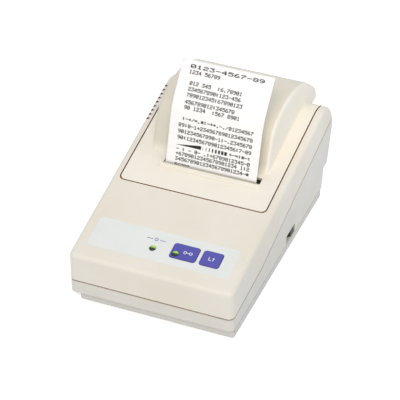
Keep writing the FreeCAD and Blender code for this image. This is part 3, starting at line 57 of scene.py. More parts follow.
class Finish:
    """A material under construction: its node tree, its shader and the object's own place."""

    def __init__(self, name, colour, roughness, metallic=0.0):
        self.material = bpy.data.materials.new(name)
        self.material.use_nodes = True
        self.tree = self.material.node_tree
        self.shader = self.tree.nodes["Principled BSDF"]
        self.shader.inputs["Base Color"].default_value = colour
        self.shader.inputs["Roughness"].default_value = roughness
        self.shader.inputs["Metallic"].default_value = metallic
        self.place = self.tree.nodes.new("ShaderNodeTexCoord").outputs["Object"]
        self.colour = None
        self.relief = None

    def link(self, source, target):
        self.tree.links.new(source, target)

    def cloud(self, size, detail=3.0, stretch=(1, 1, 1)):
        """Noise whose blotches are about size metres across."""
        mapping = self.tree.nodes.new("ShaderNodeMapping")
        mapping.inputs["Scale"].default_value = stretch
        noise = self.tree.nodes.new("ShaderNodeTexNoise")
        noise.inputs["Scale"].default_value = 1 / size
        noise.inputs["Detail"].default_value = detail
        self.link(self.place, mapping.inputs["Vector"])
        self.link(mapping.outputs["Vector"], noise.inputs["Vector"])
        return noise.outputs["Fac"]

    def curve(self, source, low, high, start=0.0, end=1.0):
        """source, from low to high, becomes start to end."""
        span = self.tree.nodes.new("ShaderNodeMapRange")
        span.inputs["From Min"].default_value = low
        span.inputs["From Max"].default_value = high
        span.inputs["To Min"].default_value = start
        span.inputs["To Max"].default_value = end
        self.link(source, span.inputs["Value"])
        return span.outputs["Result"]

    def sum(self, first, second, operation="ADD"):
        math_node = self.tree.nodes.new("ShaderNodeMath")
        math_node.operation = operation
        for socket, value in zip(math_node.inputs, (first, second)):
            if isinstance(value, (int, float)):
                socket.default_value = value
            else:
                self.link(value, socket)
        return math_node.outputs["Value"]

    def axis(self, direction):
        """How far a point lies along a direction, in metres."""
        dot = self.tree.nodes.new("ShaderNodeVectorMath")
        dot.operation = "DOT_PRODUCT"
        dot.inputs[1].default_value = direction
        self.link(self.place, dot.inputs[0])
        return dot.outputs["Value"]

    def within(self, source, low, high):
        """1 where source lies between low and high, and 0 elsewhere."""
        above = self.sum(source, low, "GREATER_THAN")
        return self.sum(above, self.sum(source, high, "LESS_THAN"), "MULTIPLY")

    def tint(self, mask, colour):
        """The colour takes over where the mask is 1."""
        mix = self.tree.nodes.new("ShaderNodeMix")
        mix.data_type = "RGBA"
        mix.inputs[6].default_value = self.shader.inputs["Base Color"].default_value[:]
        if self.colour is not None:
            self.link(self.colour, mix.inputs[6])
        mix.inputs[7].default_value = colour
        self.link(mask, mix.inputs[0])
        self.colour = mix.outputs[2]
        self.link(self.colour, self.shader.inputs["Base Color"])
        return self

    def gloss(self, mask, smooth, rough):
        self.link(self.curve(mask, 0.3, 0.7, smooth, rough), self.shader.inputs["Roughness"])
        return self

    def bump(self, height, depth, strength=1.0):
        """Relief of that depth in metres, on top of the relief already there."""
        node = self.tree.nodes.new("ShaderNodeBump")
        node.inputs["Strength"].default_value = strength
        node.inputs["Distance"].default_value = depth
        self.link(height, node.inputs["Height"])
        if self.relief is not None:
            self.link(self.relief, node.inputs["Normal"])
        self.relief = node.outputs["Normal"]
        self.link(self.relief, self.shader.inputs["Normal"])
        return self

    def on(self, *names):
        """Puts the finish on CAD nodes."""
        for name in names:
            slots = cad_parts[name].data.materials
            slots.clear()
            slots.append(self.material)
        return self


def moulded(name, colour, aged, roughness=0.5, grain=0.0007, depth=0.00002):
    """Moulded plastic: fine grain, slow drifts of colour, and handling marks in its gloss."""
    plastic = Finish(name, colour, roughness)
    plastic.tint(plastic.curve(plastic.cloud(0.03), 0.35, 0.75), aged)
    plastic.gloss(plastic.cloud(0.011, 5.0), roughness - 0.06, roughness + 0.08)
    plastic.bump(plastic.cloud(grain, 2.0), depth)
    plastic.shader.inputs["Specular IOR Level"].default_value = 0.35
    return plastic


def seam_shade(plastic):
    """Painted shade: brown in the open seam along the sides, the front and the round corners."""
    cover_low, cover_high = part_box("printer_cover")
    across = plastic.sum(plastic.axis((1, 0, 0)), 0, "ABSOLUTE")
    out = plastic.sum(across, cover_high.x - COVER_CORNER, "SUBTRACT")
    out = plastic.sum(out, 0, "MAXIMUM")
    ahead = plastic.sum(plastic.axis((0, -1, 0)), cover_low.y + COVER_CORNER)
    ahead = plastic.sum(ahead, 0, "MAXIMUM")
    away = plastic.sum(plastic.sum(out, out, "MULTIPLY"), plastic.sum(ahead, ahead, "MULTIPLY"))
    away = plastic.sum(away, 0.5, "POWER")
    gap = plastic.within(away, COVER_CORNER - SEAM_EDGE, COVER_CORNER + SEAM + SEAM_EDGE)
    return plastic.tint(gap, SEAM_SHADE_BROWN)


def parting_shade(plastic):
    """The same painted shade lies along the line where the two case halves meet."""
    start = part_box("upper_case")[0].y
    knee_height = PARTING_FRONT + (PARTING_KNEE - start) * math.tan(PARTING_SLOPE)
    over = []
    runs = ((PARTING_SLOPE, start, PARTING_FRONT), (PARTING_RISE, PARTING_KNEE, knee_height))
    for slope, y, z in runs:
        tilted = plastic.axis((0, -math.tan(slope), 1))
        over.append(plastic.sum(tilted, y * math.tan(slope) - z, "ADD"))
    over_line = plastic.sum(*over, "MINIMUM")
    return plastic.tint(plastic.within(over_line, -PARTING_SHADE_WIDTH, PARTING_SHADE_WIDTH), PARTING_SHADE_BROWN)


def vent_shade(plastic):
    """The nine short slots in the left-hand edge open into the dark inside of the case."""
    back = plastic.axis((0, 1, 0))
    spot = plastic.sum(plastic.sum(back, VENT_FRONT, "SUBTRACT"), VENT_PITCH, "MODULO")
    inside = plastic.within(spot, -SEAM_EDGE, VENT_WIDTH + SEAM_EDGE)
    among = plastic.within(back, VENT_FRONT - SEAM_EDGE, VENT_FRONT + VENT_COUNT * VENT_PITCH)
    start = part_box("upper_case")[0]
    over_deck = plastic.axis((0, -math.tan(DECK_SLOPE), 1))
    foot = DECK_FOOT - start.y * math.tan(DECK_SLOPE) - VENT_DEPTH
    high = plastic.sum(over_deck, foot - SEAM_EDGE, "GREATER_THAN")
    outer = plastic.within(plastic.axis((1, 0, 0)), start.x + VENT_LIP, start.x + VENT_SHADE)
    row = plastic.sum(inside, among, "MULTIPLY")
    rim = plastic.sum(high, outer, "MULTIPLY")
    return plastic.tint(plastic.sum(row, rim, "MULTIPLY"), VENT_BROWN)


DECK_SLOPE = math.radians(11.4)
DECK_FOOT = 0.0341
VENT_COUNT = 9
VENT_FRONT = 0.0256
VENT_PITCH = 0.0037
VENT_WIDTH = 0.0016
VENT_DEPTH = 0.0065
VENT_LIP = 0.0006
VENT_SHADE = 0.0021
VENT_BROWN = tone(86, 64, 48)
COVER_CORNER = 0.0034
SEAM = 0.0007
SEAM_EDGE = 0.00005
# Painted shade in the open seam round the cover.
SEAM_SHADE_BROWN = tone(150, 98, 54)
PARTING_FRONT = 0.0148
PARTING_SLOPE = math.radians(5.5)
PARTING_RISE = math.radians(13.9)
PARTING_KNEE = -0.0433
# Painted shade along the parting line between the case halves.
PARTING_SHADE_WIDTH = 0.0003
PARTING_SHADE_BROWN = tone(134, 98, 70)
UPPER_CREAM = tone(234, 229, 220)
LOWER_CREAM = tone(225, 222, 216)
CREAM_AGED = tone(231, 224, 210)
TIER_TOP = 0.0057
TIER_SHADE = 0.0005
# Painted shade on the set-back tier at the foot, and a painted shadow line at its top.
TIER_PAINTED_SHADE = tone(213, 211, 206)
TIER_SHADOW_LINE = tone(168, 156, 146)
upper_plastic = moulded("cream_upper_plastic", UPPER_CREAM, CREAM_AGED)
# Painted shade darkens the seam, the parting line and the vent slots of the upper case.
vent_shade(parting_shade(seam_shade(upper_plastic))).on("upper_case")
lower_plastic = moulded("cream_lower_plastic", LOWER_CREAM, tone(221, 216, 207))
height = lower_plastic.axis((0, 0, 1))
# Painted shade: the tier is greyer, with a painted shadow line under the overhang above it.
lower_plastic.tint(lower_plastic.sum(height, TIER_TOP, "LESS_THAN"), TIER_PAINTED_SHADE)
tier_shadow_line = lower_plastic.within(height, TIER_TOP - TIER_SHADE, TIER_TOP + SEAM_EDGE)
lower_plastic.tint(tier_shadow_line, TIER_SHADOW_LINE)
# Painted shade along the parting line of the lower case.
parting_shade(lower_plastic).on("lower_case")


# ---- Feet and case screws ----------------------------------------------------------------
# Four moulded rubber discs are glued under the base. The long case screws are zinc-plated
# steel; they come up from below, in recesses beside the feet.
rubber = Finish("foot_rubber", tone(52, 50, 48), 0.82)
rubber.tint(rubber.curve(rubber.cloud(0.004), 0.45, 0.75), tone(78, 75, 71))
rubber.bump(rubber.cloud(0.0006), 0.00003)
rubber.on("rubber_feet")


def plated(name, colour, roughness, along=(1, 1, 1)):
    """Plated or ground metal, with the fine lines of its working stretched along one axis."""
    metal = Finish(name, colour, roughness, metallic=1.0)
    metal.tint(metal.curve(metal.cloud(0.006), 0.5, 0.8), tone(122, 118, 110))
    metal.gloss(metal.cloud(0.0012, 2.0, along), roughness - 0.08, roughness + 0.14)
    metal.bump(metal.cloud(0.0004, 2.0, along), 0.000006)
    return metal


STEEL = tone(186, 187, 188)
screw_zinc = plated("screw_zinc", STEEL, 0.34)
screw_zinc.on("case_screws", "board_screws", "mech_screws", "panel_screws")


# ---- Main board, its parts and the sockets in the rear -------------------------------------
# A glass-epoxy board with green solder mask lies on posts in the base. The square chip and
# the capacitor are soldered on it, as are the interface socket, the inlet and the switch.
def circuit_board(name):
    """Solder mask over copper: tracks show as slightly lighter lanes, with pads between."""
    board = Finish(name, tone(24, 92, 58), 0.32)
    lanes = board.tree.nodes.new("ShaderNodeTexBrick")
    lanes.inputs["Scale"].default_value = 420
    lanes.inputs["Mortar Size"].default_value = 0.03
    lanes.inputs["Color1"].default_value = (0, 0, 0, 1)
    lanes.inputs["Color2"].default_value = (0.35, 0.35, 0.35, 1)
    lanes.inputs["Mortar"].default_value = (1, 1, 1, 1)
    board.link(board.place, lanes.inputs["Vector"])
    board.tint(lanes.outputs["Color"], tone(58, 138, 88))
    board.tint(board.curve(board.cloud(0.0014, 1.0), 0.66, 0.7), tone(196, 188, 150))
    board.bump(lanes.outputs["Fac"], 0.00003)
    return board


circuit_board("solder_mask").on("main_board", "panel_board")
chip_epoxy = moulded("chip_epoxy", tone(34, 34, 37), tone(52, 51, 52), 0.58, 0.0003)
chip_epoxy.on("board_chips", "key_switches")

socket_plastic = moulded("black_socket_plastic", tone(28, 28, 30), tone(46, 45, 46), 0.45, 0.0004)
socket_plastic.on("dc_jack", "power_switch")
socket_shell = plated("tinned_shell", tone(150, 150, 147), 0.36)
socket_shell.on("interface_connector", "connector_posts")


# ---- Power switch knob -----------------------------------------------------------------
# The black slider of the power switch stands in a window in the right-hand side. Its face
# has moulded finger ribs.
knob_plastic = moulded("black_knob_plastic", tone(16, 15, 16), tone(30, 29, 28), 0.5, 0.0004)
knob_plastic.on("switch_knob")


# ---- Print mechanism -------------------------------------------------------------------
# A folded and plated steel frame holds the motor, the two guide shafts, the grooved cam
# drum, the feed rollers and the platen. Gears and drum are acetal, the rollers are rubber.
plated("frame_zinc", tone(196, 192, 178), 0.36).on("mech_frame")
plated("ground_shaft", tone(200, 201, 203), 0.18, (0.2, 1, 1)).on(
    "guide_shafts", "feed_shaft", "motor_shaft", "hinge_pins")
plated("motor_can", tone(150, 150, 150), 0.3, (0.2, 1, 1)).on("motor")
plated("pinion_brass", tone(206, 170, 96), 0.28).on("pinion")
moulded("acetal", tone(226, 224, 214), tone(205, 199, 182), 0.4, 0.0004).on(
    "drum_gear", "feed_gear", "cam_drum")
moulded("head_nylon", tone(44, 45, 50), tone(66, 65, 68), 0.48, 0.0004).on("print_head")
platen_rubber = Finish("platen_rubber", tone(40, 39, 40), 0.72)
platen_rubber.tint(platen_rubber.curve(platen_rubber.cloud(0.005), 0.5, 0.8), tone(84, 80, 88))
platen_rubber.bump(platen_rubber.cloud(0.0003), 0.00002)
platen_rubber.on("platen", "feed_roller", "pinch_roller")


# ---- Ribbon cassette -------------------------------------------------------------------
# The cassette is a flat box of dark grey styrene whose arms stretch an inked fabric ribbon
# in front of the head. The knob winds the slack out of the ribbon.
moulded("cassette_styrene", tone(58, 60, 66), tone(78, 79, 84), 0.42, 0.0004).on("ribbon_cassette")
moulded("knob_styrene", tone(224, 222, 214), tone(206, 200, 188), 0.42, 0.0004).on("ribbon_knob")
ribbon = Finish("inked_ribbon", tone(44, 34, 66), 0.78)
weave = ribbon.tree.nodes.new("ShaderNodeTexWave")
weave.inputs["Scale"].default_value = 1600
weave.bands_direction = "DIAGONAL"
ribbon.link(ribbon.place, weave.inputs["Vector"])
ribbon.tint(weave.outputs["Fac"], tone(66, 54, 92))
ribbon.bump(weave.outputs["Fac"], 0.00004)
ribbon.on("ink_ribbon")


# ---- Keys ------------------------------------------------------------------------------
# Two key caps of violet-blue ABS stand a little proud of the film. Their legends are white
# and printed into the caps: a joined pair of links for on line, a sheet and arrow for feed.
UP_DECK = Vector((0, math.cos(DECK_SLOPE), math.sin(DECK_SLOPE)))
DECK_NORMAL = Vector((0, -math.sin(DECK_SLOPE), math.cos(DECK_SLOPE)))
ACROSS = Vector((1, 0, 0))


def piece(name, mesh_code, body, material):
    """A piece made by mesh code, riding on a body and finished with the given material."""
    mesh = bpy.data.meshes.new(name)
    shape = bmesh.new()
    mesh_code(shape)
    bmesh.ops.recalc_face_normals(shape, faces=shape.faces)
    shape.to_mesh(mesh)
    shape.free()
    made = bpy.data.objects.new(name, mesh)
    bpy.context.scene.collection.objects.link(made)
    mesh.materials.append(material)
    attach(made, body)
    return made


def flat_print(shape, outline, at, right, up, normal, thickness):
    """A patch of printing ink: an outline in its own plane, as a very thin solid plate."""
    rings = []
    for lift in (0, thickness):
        rings.append([shape.verts.new(at + right * x + up * y + normal * lift) for x, y in outline])
    shape.faces.new(rings[1])
    shape.faces.new(list(reversed(rings[0])))
    for k in range(len(outline)):
        after = (k + 1) % len(outline)
        shape.faces.new((rings[0][k], rings[0][after], rings[1][after], rings[1][k]))


def stroke(start, end, width):
    """The outline of a straight printed stroke with square ends."""
    along = (Vector(end) - Vector(start)).normalized()
    side = Vector((-along.y, along.x)) * width / 2
    start, end = Vector(start) - along * width / 2, Vector(end) + along * width / 2
    return [start - side, end - side, end + side, start + side]


def arc(middle, radius, first, last, width, steps=14):
    """The outline of a printed arc, angles in degrees."""
    angles = [math.radians(first + (last - first) * k / steps) for k in range(steps + 1)]

    def ring(size, order):
        return [Vector((middle[0] + size * math.cos(a), middle[1] + size * math.sin(a)))
                for a in order]

    return ring(radius + width / 2, angles) + ring(radius - width / 2, reversed(angles))


PRINT_THICKNESS = 0.00004


def deck_print(name, outlines, at, body, material):
    """Outlines printed on a face that lies along the deck."""
    def ink(shape):
        for outline in outlines:
            flat_print(shape, outline, at, ACROSS, UP_DECK, DECK_NORMAL, PRINT_THICKNESS)

    return piece(name, ink, body, material)


DECK_START = Vector((0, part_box("upper_case")[0].y, DECK_FOOT))


def deck_point(x, up, over):
    """A point by its x, its distance up the deck and its height above it."""
    return DECK_START + ACROSS * x + UP_DECK * up + DECK_NORMAL * over


def deck_span(node):
    """Lowest and highest x, distance up the deck and height above it that a node reaches."""
    corners = [(v.co.x, (v.co - DECK_START).dot(UP_DECK), (v.co - DECK_START).dot(DECK_NORMAL))
               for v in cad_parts[node].data.vertices]
    return Vector(map(min, zip(*corners))), Vector(map(max, zip(*corners)))


key_plastic = moulded("violet_key_plastic", tone(88, 86, 176), tone(80, 77, 168), 0.42, 0.0005)
key_plastic.on("select_key", "feed_key")
legend_white = Finish("legend_white", tone(236, 236, 244), 0.5)
legend_white.tint(legend_white.curve(legend_white.cloud(0.0006), 0.6, 0.8), tone(190, 190, 222))


def key_legend(key, outlines, shift):
    """White legend on a key cap, shifted across from the middle of the cap."""
    low, high = deck_span(key)
    middle = deck_point((low.x + high.x) / 2 + shift, (low.y + high.y) / 2, high.z)
    return deck_print(f"{key}_legend", outlines, middle, key, legend_white.material)


RING = 0.0009
LINE = 0.00042
LINK_SHIFT = 0.0020
link_rings = [arc((side * 0.0018, 0), RING, 0, 360, LINE, 24) for side in (-1, 1)]
link_bar = stroke((-0.0007, 0), (0.0007, 0), LINE)
key_legend("select_key", link_rings + [link_bar], LINK_SHIFT)
feed_sheet = [stroke((-0.0016, -0.0011), (-0.0016, 0.0011), LINE),
              stroke((-0.0016, -0.0011), (-0.0001, -0.0011), LINE)]
feed_arrow = [stroke((0.0012, -0.0011), (0.0012, 0.0006), LINE),
              [Vector((0.0003, 0.0003)), Vector((0.0021, 0.0003)), Vector((0.0012, 0.0014))]]
key_legend("feed_key", feed_sheet + feed_arrow, 0)


# ---- Control label ---------------------------------------------------------------------
# A satin polyester film, printed on its back, is stuck in a shallow place on the deck and
# punched for the lamp and the keys. It carries a plain power sign above the lamp.
film = Finish("label_film", tone(231, 234, 233), 0.38)
film.tint(film.curve(film.cloud(0.02), 0.4, 0.8), tone(225, 229, 229))
film.bump(film.cloud(0.0004, 2.0), 0.000008)
film.on("control_label")

violet_ink = Finish("violet_ink", tone(96, 96, 168), 0.5)
violet_ink.tint(violet_ink.curve(violet_ink.cloud(0.0008), 0.55, 0.8), tone(140, 140, 196))
label_high = deck_span("control_label")[1]
SIGN_ACROSS = -0.0063
SIGN_UP = 0.0266
power_sign = [arc((0, 0), 0.0010, -235, 55, LINE), stroke((0, 0.0004), (0, 0.0013), LINE)]
power_sign += [stroke((side * 0.0025, 0), (side * 0.0058, 0), LINE) for side in (-1, 1)]
sign_at = deck_point(SIGN_ACROSS, SIGN_UP, label_high.z)
deck_print("power_sign", power_sign, sign_at, "printer", violet_ink.material)


# ---- Lamps -------------------------------------------------------------------------------
# Each lamp is a green acrylic lens over a light-emitting diode. Light from behind the panel
# fills the rear half of the lens, and the front half stays dark.
GLOW_FROM = 0.0001
GLOW_FULL = 0.0010
BRIGHT_FROM = 0.0009
BRIGHT_FULL = 0.0023
lens = Finish("green_lens", tone(16, 46, 26), 0.16)
lamp_low, lamp_high = deck_span("power_lamp")
lamp_middle = deck_point(0, (lamp_low.y + lamp_high.y) / 2, 0).dot(UP_DECK)
rise = lens.sum(lens.axis(UP_DECK), lens.sum(lens.cloud(0.002), 0.0006, "MULTIPLY"))
lens.tint(lens.curve(rise, lamp_middle + GLOW_FROM, lamp_middle + GLOW_FULL), tone(150, 205, 72))
bright = lens.curve(rise, lamp_middle + BRIGHT_FROM, lamp_middle + BRIGHT_FULL)
lens.tint(bright, tone(196, 226, 132))
lens.on("power_lamp", "select_lamp")


# ---- Printer cover and tear bar -----------------------------------------------------------
# The cover is moulded in the same cream ABS, with the housing over the paper roll in one
# piece. The housing is painted a greyer cream; the lighter cream on its right end is painted light.
# A plated blade lies in the front edge of the slot, with painted shade in the gaps of its teeth.
def slot_notch_shade(plastic):
    """Painted shade: a small dark mark along the front edge of the slot in each gap between teeth.
    """
    blade_low, blade_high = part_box("tear_bar")
    tip = Vector((0, blade_high.y, blade_high.z - BLADE_THICKNESS * math.cos(DECK_SLOPE)))
    edge = tip.dot(UP_DECK) - TEAR_TOOTH
    across = plastic.axis(ACROSS)
    notch = plastic.sum(across, blade_low.x + TEAR_FIRST, "SUBTRACT")
    notch = plastic.within(plastic.sum(notch, TEAR_PITCH, "MODULO"), 0, NOTCH_WIDTH)
    between = plastic.within(across, blade_low.x + TEAR_FIRST, blade_high.x - TEAR_FIRST)
    along = plastic.within(plastic.axis(UP_DECK), edge - NOTCH_DEPTH, edge + SEAM_EDGE)
    row = plastic.sum(notch, between, "MULTIPLY")
    return plastic.tint(plastic.sum(row, along, "MULTIPLY"), NOTCH_SHADE_BROWN)


BLADE_THICKNESS = 0.0006
TEAR_PITCH = 0.00145
TEAR_TOOTH = 0.0007
TEAR_FIRST = 0.001425
NOTCH_WIDTH = 0.00065
NOTCH_DEPTH = 0.0011
# Painted shade in the gaps between the blade's teeth.
NOTCH_SHADE_BROWN = tone(58, 44, 36)
COVER_CREAM = tone(242, 238, 228)
HOUSING_GREY = tone(222, 216, 202)
HOUSING_END = 0.037
GREY_FOOT = 0.001
GREY_FULL = 0.006
cover_plastic = moulded("cream_cover_plastic", COVER_CREAM, tone(240, 233, 220))
over_deck = cover_plastic.axis((0, -math.tan(DECK_SLOPE), 1))
deck_high = DECK_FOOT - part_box("upper_case")[0].y * math.tan(DECK_SLOPE)
raised = cover_plastic.curve(over_deck, deck_high + GREY_FOOT, deck_high + GREY_FULL)
# Painted light: the right-hand end of the housing keeps the lighter cream, as if lit from the
# right.
left_of_lit_end = cover_plastic.sum(cover_plastic.axis(ACROSS), HOUSING_END, "LESS_THAN")
cover_plastic.tint(cover_plastic.sum(raised, left_of_lit_end, "MULTIPLY"), HOUSING_GREY)
# The cover gets painted shade in its seam and in the gaps between the blade's teeth.
slot_notch_shade(seam_shade(cover_plastic)).on("printer_cover")
plated("blade_steel", tone(214, 206, 192), 0.42).on("tear_bar")


# ---- Paper: roll, core, web and printed strip --------------------------------------------
# Plain white bond paper, wound on a card core that turns on a moulded spindle in the bay.
# The web runs down to the head; the printed strip stands out of the slot and curls back.
def paper_finish(name, colour, shade):
    """Uncoated paper: faint formation clouds and a fine tooth."""
    paper = Finish(name, colour, 0.85)
    paper.tint(paper.curve(paper.cloud(0.003, 4.0), 0.4, 0.8), shade)
    paper.bump(paper.cloud(0.0003, 2.0), 0.00001)
    paper.shader.inputs["Specular IOR Level"].default_value = 0.2
    return paper


bond = paper_finish("bond_paper", tone(253, 253, 254), tone(251, 251, 253))
bond.on("paper_web")
roll_low, roll_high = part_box("paper_roll")
roll_middle = (roll_low + roll_high) / 2
wound = paper_finish("wound_paper", tone(243, 242, 240), tone(238, 237, 234))
windings = wound.tree.nodes.new("ShaderNodeTexWave")
windings.wave_type = "RINGS"
windings.rings_direction = "X"
windings.inputs["Scale"].default_value = 900
hub = wound.tree.nodes.new("ShaderNodeMapping")
hub.inputs["Location"].default_value = (0, -roll_middle.y, -roll_middle.z)
wound.link(wound.place, hub.inputs["Vector"])
wound.link(hub.outputs["Vector"], windings.inputs["Vector"])
wound.tint(wound.curve(windings.outputs["Fac"], 0.5, 1.0), tone(220, 218, 214))
wound.bump(windings.outputs["Fac"], 0.00002)
wound.on("paper_roll")
card = Finish("core_card", tone(168, 138, 104), 0.85)
card.tint(card.curve(card.cloud(0.002, 4.0), 0.4, 0.7), tone(146, 116, 84))
card.bump(card.cloud(0.0006), 0.00003)
card.on("roll_core")
bay_plastic = moulded("bay_plastic", tone(214, 210, 200), tone(200, 194, 180), 0.5)
bay_plastic.on("roll_bay", "roll_spindle")

STRIP_LEAN = math.radians(17)
STRIP_STRAIGHT = 0.0302
STRIP_CURL = 0.036
STRIP_END_LEAN = math.radians(43)
STRIP_SWEEP = STRIP_END_LEAN - STRIP_LEAN
STRIP_TAIL = 0.021
STRIP_LENGTH = STRIP_STRAIGHT + STRIP_CURL * STRIP_SWEEP + STRIP_TAIL
PAPER_THICKNESS = 0.0001
RIPPLE = 0.00025
RIPPLE_ACROSS = 95
RIPPLE_ALONG = 60
strip_low, strip_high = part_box("receipt_strip")
strip_foot = Vector((0, strip_low.y, strip_low.z + PAPER_THICKNESS * math.sin(STRIP_LEAN)))


def on_strip(across, along, lift=0.0):
    """A point on the strip's printed face: x, distance from its foot, height off the paper."""
    straight = min(along, STRIP_STRAIGHT)
    turned = min(max(along - STRIP_STRAIGHT, 0) / STRIP_CURL, STRIP_SWEEP)
    tail = max(along - STRIP_STRAIGHT - STRIP_CURL * STRIP_SWEEP, 0)
    lean = STRIP_LEAN + turned
    up, out = (Vector((0, math.sin(a), math.cos(a))) for a in (STRIP_LEAN, lean))
    front = Vector((0, -math.cos(STRIP_LEAN), math.sin(STRIP_LEAN)))
    chord = up * math.sin(turned) - front * (1 - math.cos(turned))
    point = strip_foot + up * straight + chord * STRIP_CURL + out * tail
    free = along / STRIP_LENGTH
    ripple = RIPPLE * free * math.sin(across * RIPPLE_ACROSS + along * RIPPLE_ALONG)
    normal = Vector((0, -math.cos(lean), math.sin(lean)))
    return point + normal * (lift + ripple) + ACROSS * across


def torn_sheet(shape):
    """The strip as one thin sheet: straight foot and sides, and a saw-toothed torn top."""
    teeth = round((strip_high.x - strip_low.x) / TEAR_PITCH)
    columns = 2 * teeth
    rows = 36
    faces = []
    for lift in (0, -PAPER_THICKNESS):
        grid = []
        for row in range(rows + 1):
            line = []
            for column in range(columns + 1):
                across = strip_low.x + (strip_high.x - strip_low.x) * column / columns
                along = STRIP_LENGTH * row / rows
                if row == rows and column % 2 == 0:
                    along -= TEAR_TOOTH
                line.append(shape.verts.new(on_strip(across, along, lift)))
            grid.append(line)
        faces.append(grid)
    front, back = faces
    for row in range(rows):
        for column in range(columns):
            corners = [(row, column), (row, column + 1), (row + 1, column + 1), (row + 1, column)]
            shape.faces.new([front[r][c] for r, c in corners])
            shape.faces.new([back[r][c] for r, c in reversed(corners)])
    rim = [(0, c) for c in range(columns)] + [(r, columns) for r in range(rows)]
    rim += [(rows, c) for c in range(columns, 0, -1)] + [(r, 0) for r in range(rows, 0, -1)]
    for k, (r, c) in enumerate(rim):
        next_r, next_c = rim[(k + 1) % len(rim)]
        shape.faces.new((front[r][c], back[r][c], back[next_r][next_c], front[next_r][next_c]))


strip = piece("printed_strip", torn_sheet, "receipt", bond.material)
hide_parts("receipt_strip")
for face in strip.data.polygons:
    face.use_smooth = True


# ---- Print on the strip --------------------------------------------------------------------
# Dot-matrix ink: five by seven dots to a character, twenty-four characters to a line, made by
# the needles through a violet-black ribbon. The lines hold plain digits and signs, and bars.
DOT = 0.000333
LETTER_PITCH = 0.00203
LEFT_MARGIN = -0.0197
NEEDLE_MARK = 0.00049
INK_LIFT = 0.00003
DOT_FONT = {
    "0": "01110 10001 10011 10101 11001 10001 01110",
    "1": "00100 01100 00100 00100 00100 00100 01110",
    "2": "01110 10001 00001 00110 01000 10000 11111",
    "3": "11111 00010 00100 00010 00001 10001 01110",
    "4": "00010 00110 01010 10010 11111 00010 00010",
    "5": "11111 10000 11110 00001 00001 10001 01110",
    "6": "00110 01000 10000 11110 10001 10001 01110",
    "7": "11111 00001 00010 00100 01000 01000 01000",
    "8": "01110 10001 10001 01110 10001 10001 01110",
    "9": "01110 10001 10001 01111 00001 00010 01100",
    "-": "00000 00000 00000 11111 00000 00000 00000",
    ":": "00000 01100 01100 00000 01100 01100 00000",
    ".": "00000 00000 00000 00000 00000 01100 01100",
    "+": "00000 00100 00100 11111 00100 00100 00000",
    "/": "00000 00001 00010 00100 01000 10000 00000",
    "=": "00000 00000 11111 00000 11111 00000 00000",
    "*": "00000 10101 01110 11111 01110 10101 00000",
}
PRINTED_LINES = [
    (0.0597, "1234 56789"),
    (0.0529, " 012 345  :6.78901"),
    (0.0492, " 234567890:123-456"),
    (0.0455, " 789012345:67890123"),
    (0.0412, " 456789012:345678"),
    (0.0379, " 90 1234  :567 8901"),
    (0.0307, " :-+/=.*:-++.-./01234567"),
    (0.0264, "89:0-1+23456789012345678"),
    (0.0223, "901234567890-1:-.2345678"),
    (0.0183, "90:1234567890123456:7-89"),
    (0.0108, "- : - 0- .:+6789012345-0"),
    (0.0077, "+6789012345678901234 1:2"),
    (0.0043, "3456789012345678901234-*"),
    (0.0002, "56789"),
]
HEADING = (0.0633, "0123-4567-89")
BAR_LINE = 0.0144
BAR_SETS_APART = 8.5
WIDEST_BAR = 0.85


def ink_mark(shape, left, right, foot, head):
    """One solid mark of ink that follows the curve of the paper."""
    corners = [(left, foot), (right, foot), (right, head), (left, head)]
    shape.faces.new([shape.verts.new(on_strip(x, s, INK_LIFT)) for x, s in corners])


def type_line(shape, middle, text, stretch=1):
    """A line of characters whose middle is that far from the foot of the strip."""
    spare = NEEDLE_MARK - DOT
    for place, letter in enumerate(text):
        rows = DOT_FONT.get(letter, "").split()
        for line, dots in enumerate(rows):
            head = middle + DOT * (len(rows) / 2 - line)
            for column, dot in enumerate(dots):
                left = LEFT_MARGIN + (place * LETTER_PITCH + column * DOT) * stretch
                if dot == "1" and head - DOT > 0:
                    ink_mark(shape, left, left + DOT * stretch + spare, head - DOT, head + spare)


def step_bars(shape):
    """Two sets of eight test bars: the first grow in height, the second in width."""
    height = 7 * DOT
    foot = BAR_LINE - height / 2
    for step in range(1, 9):
        left = LEFT_MARGIN + (step - 1) * LETTER_PITCH
        ink_mark(shape, left, left + LETTER_PITCH, foot, foot + height * step / 8)
        left += BAR_SETS_APART * LETTER_PITCH
        width = WIDEST_BAR * LETTER_PITCH * step / 8
        ink_mark(shape, left, left + width, foot, foot + height)
    type_line(shape, BAR_LINE, " " * 17 + "+-=:*-:")


def print_all(shape):
    type_line(shape, *HEADING, stretch=2)
    for middle, text in PRINTED_LINES:
        type_line(shape, middle, text)
    step_bars(shape)


needle_ink = Finish("needle_ink", tone(15, 14, 17), 0.7)
needle_ink.tint(needle_ink.curve(needle_ink.cloud(0.0012), 0.5, 0.75), tone(40, 38, 46))
piece("strip_print", print_all, "receipt", needle_ink.material)


# ---- Floor, light and camera ----------------------------------------------------------------
# The printer stands on a plain white sweep in a pale cool room. One warm softbox stands
# ahead of it and to the right, at about fifty degrees, and a weak narrow lamp lights the
# housing from the right. A large soft fill keeps the rear from going grey.
def sweep(shape):
    """A floor that bends up into a backdrop behind the printer."""
    half = 1.6
    back = 1.2
    bend = 0.4
    height = 2.2
    profile = [(-half, 0), (back, 0)]
    profile += [(back + bend * math.sin(math.radians(a)), bend - bend * math.cos(math.radians(a)))
                for a in range(10, 91, 10)]
    profile.append((back + bend, height))
    rails = [[shape.verts.new((x, y, z)) for y, z in profile] for x in (-half, half)]
    for k in range(len(profile) - 1):
        shape.faces.new((rails[0][k], rails[1][k], rails[1][k + 1], rails[0][k + 1]))


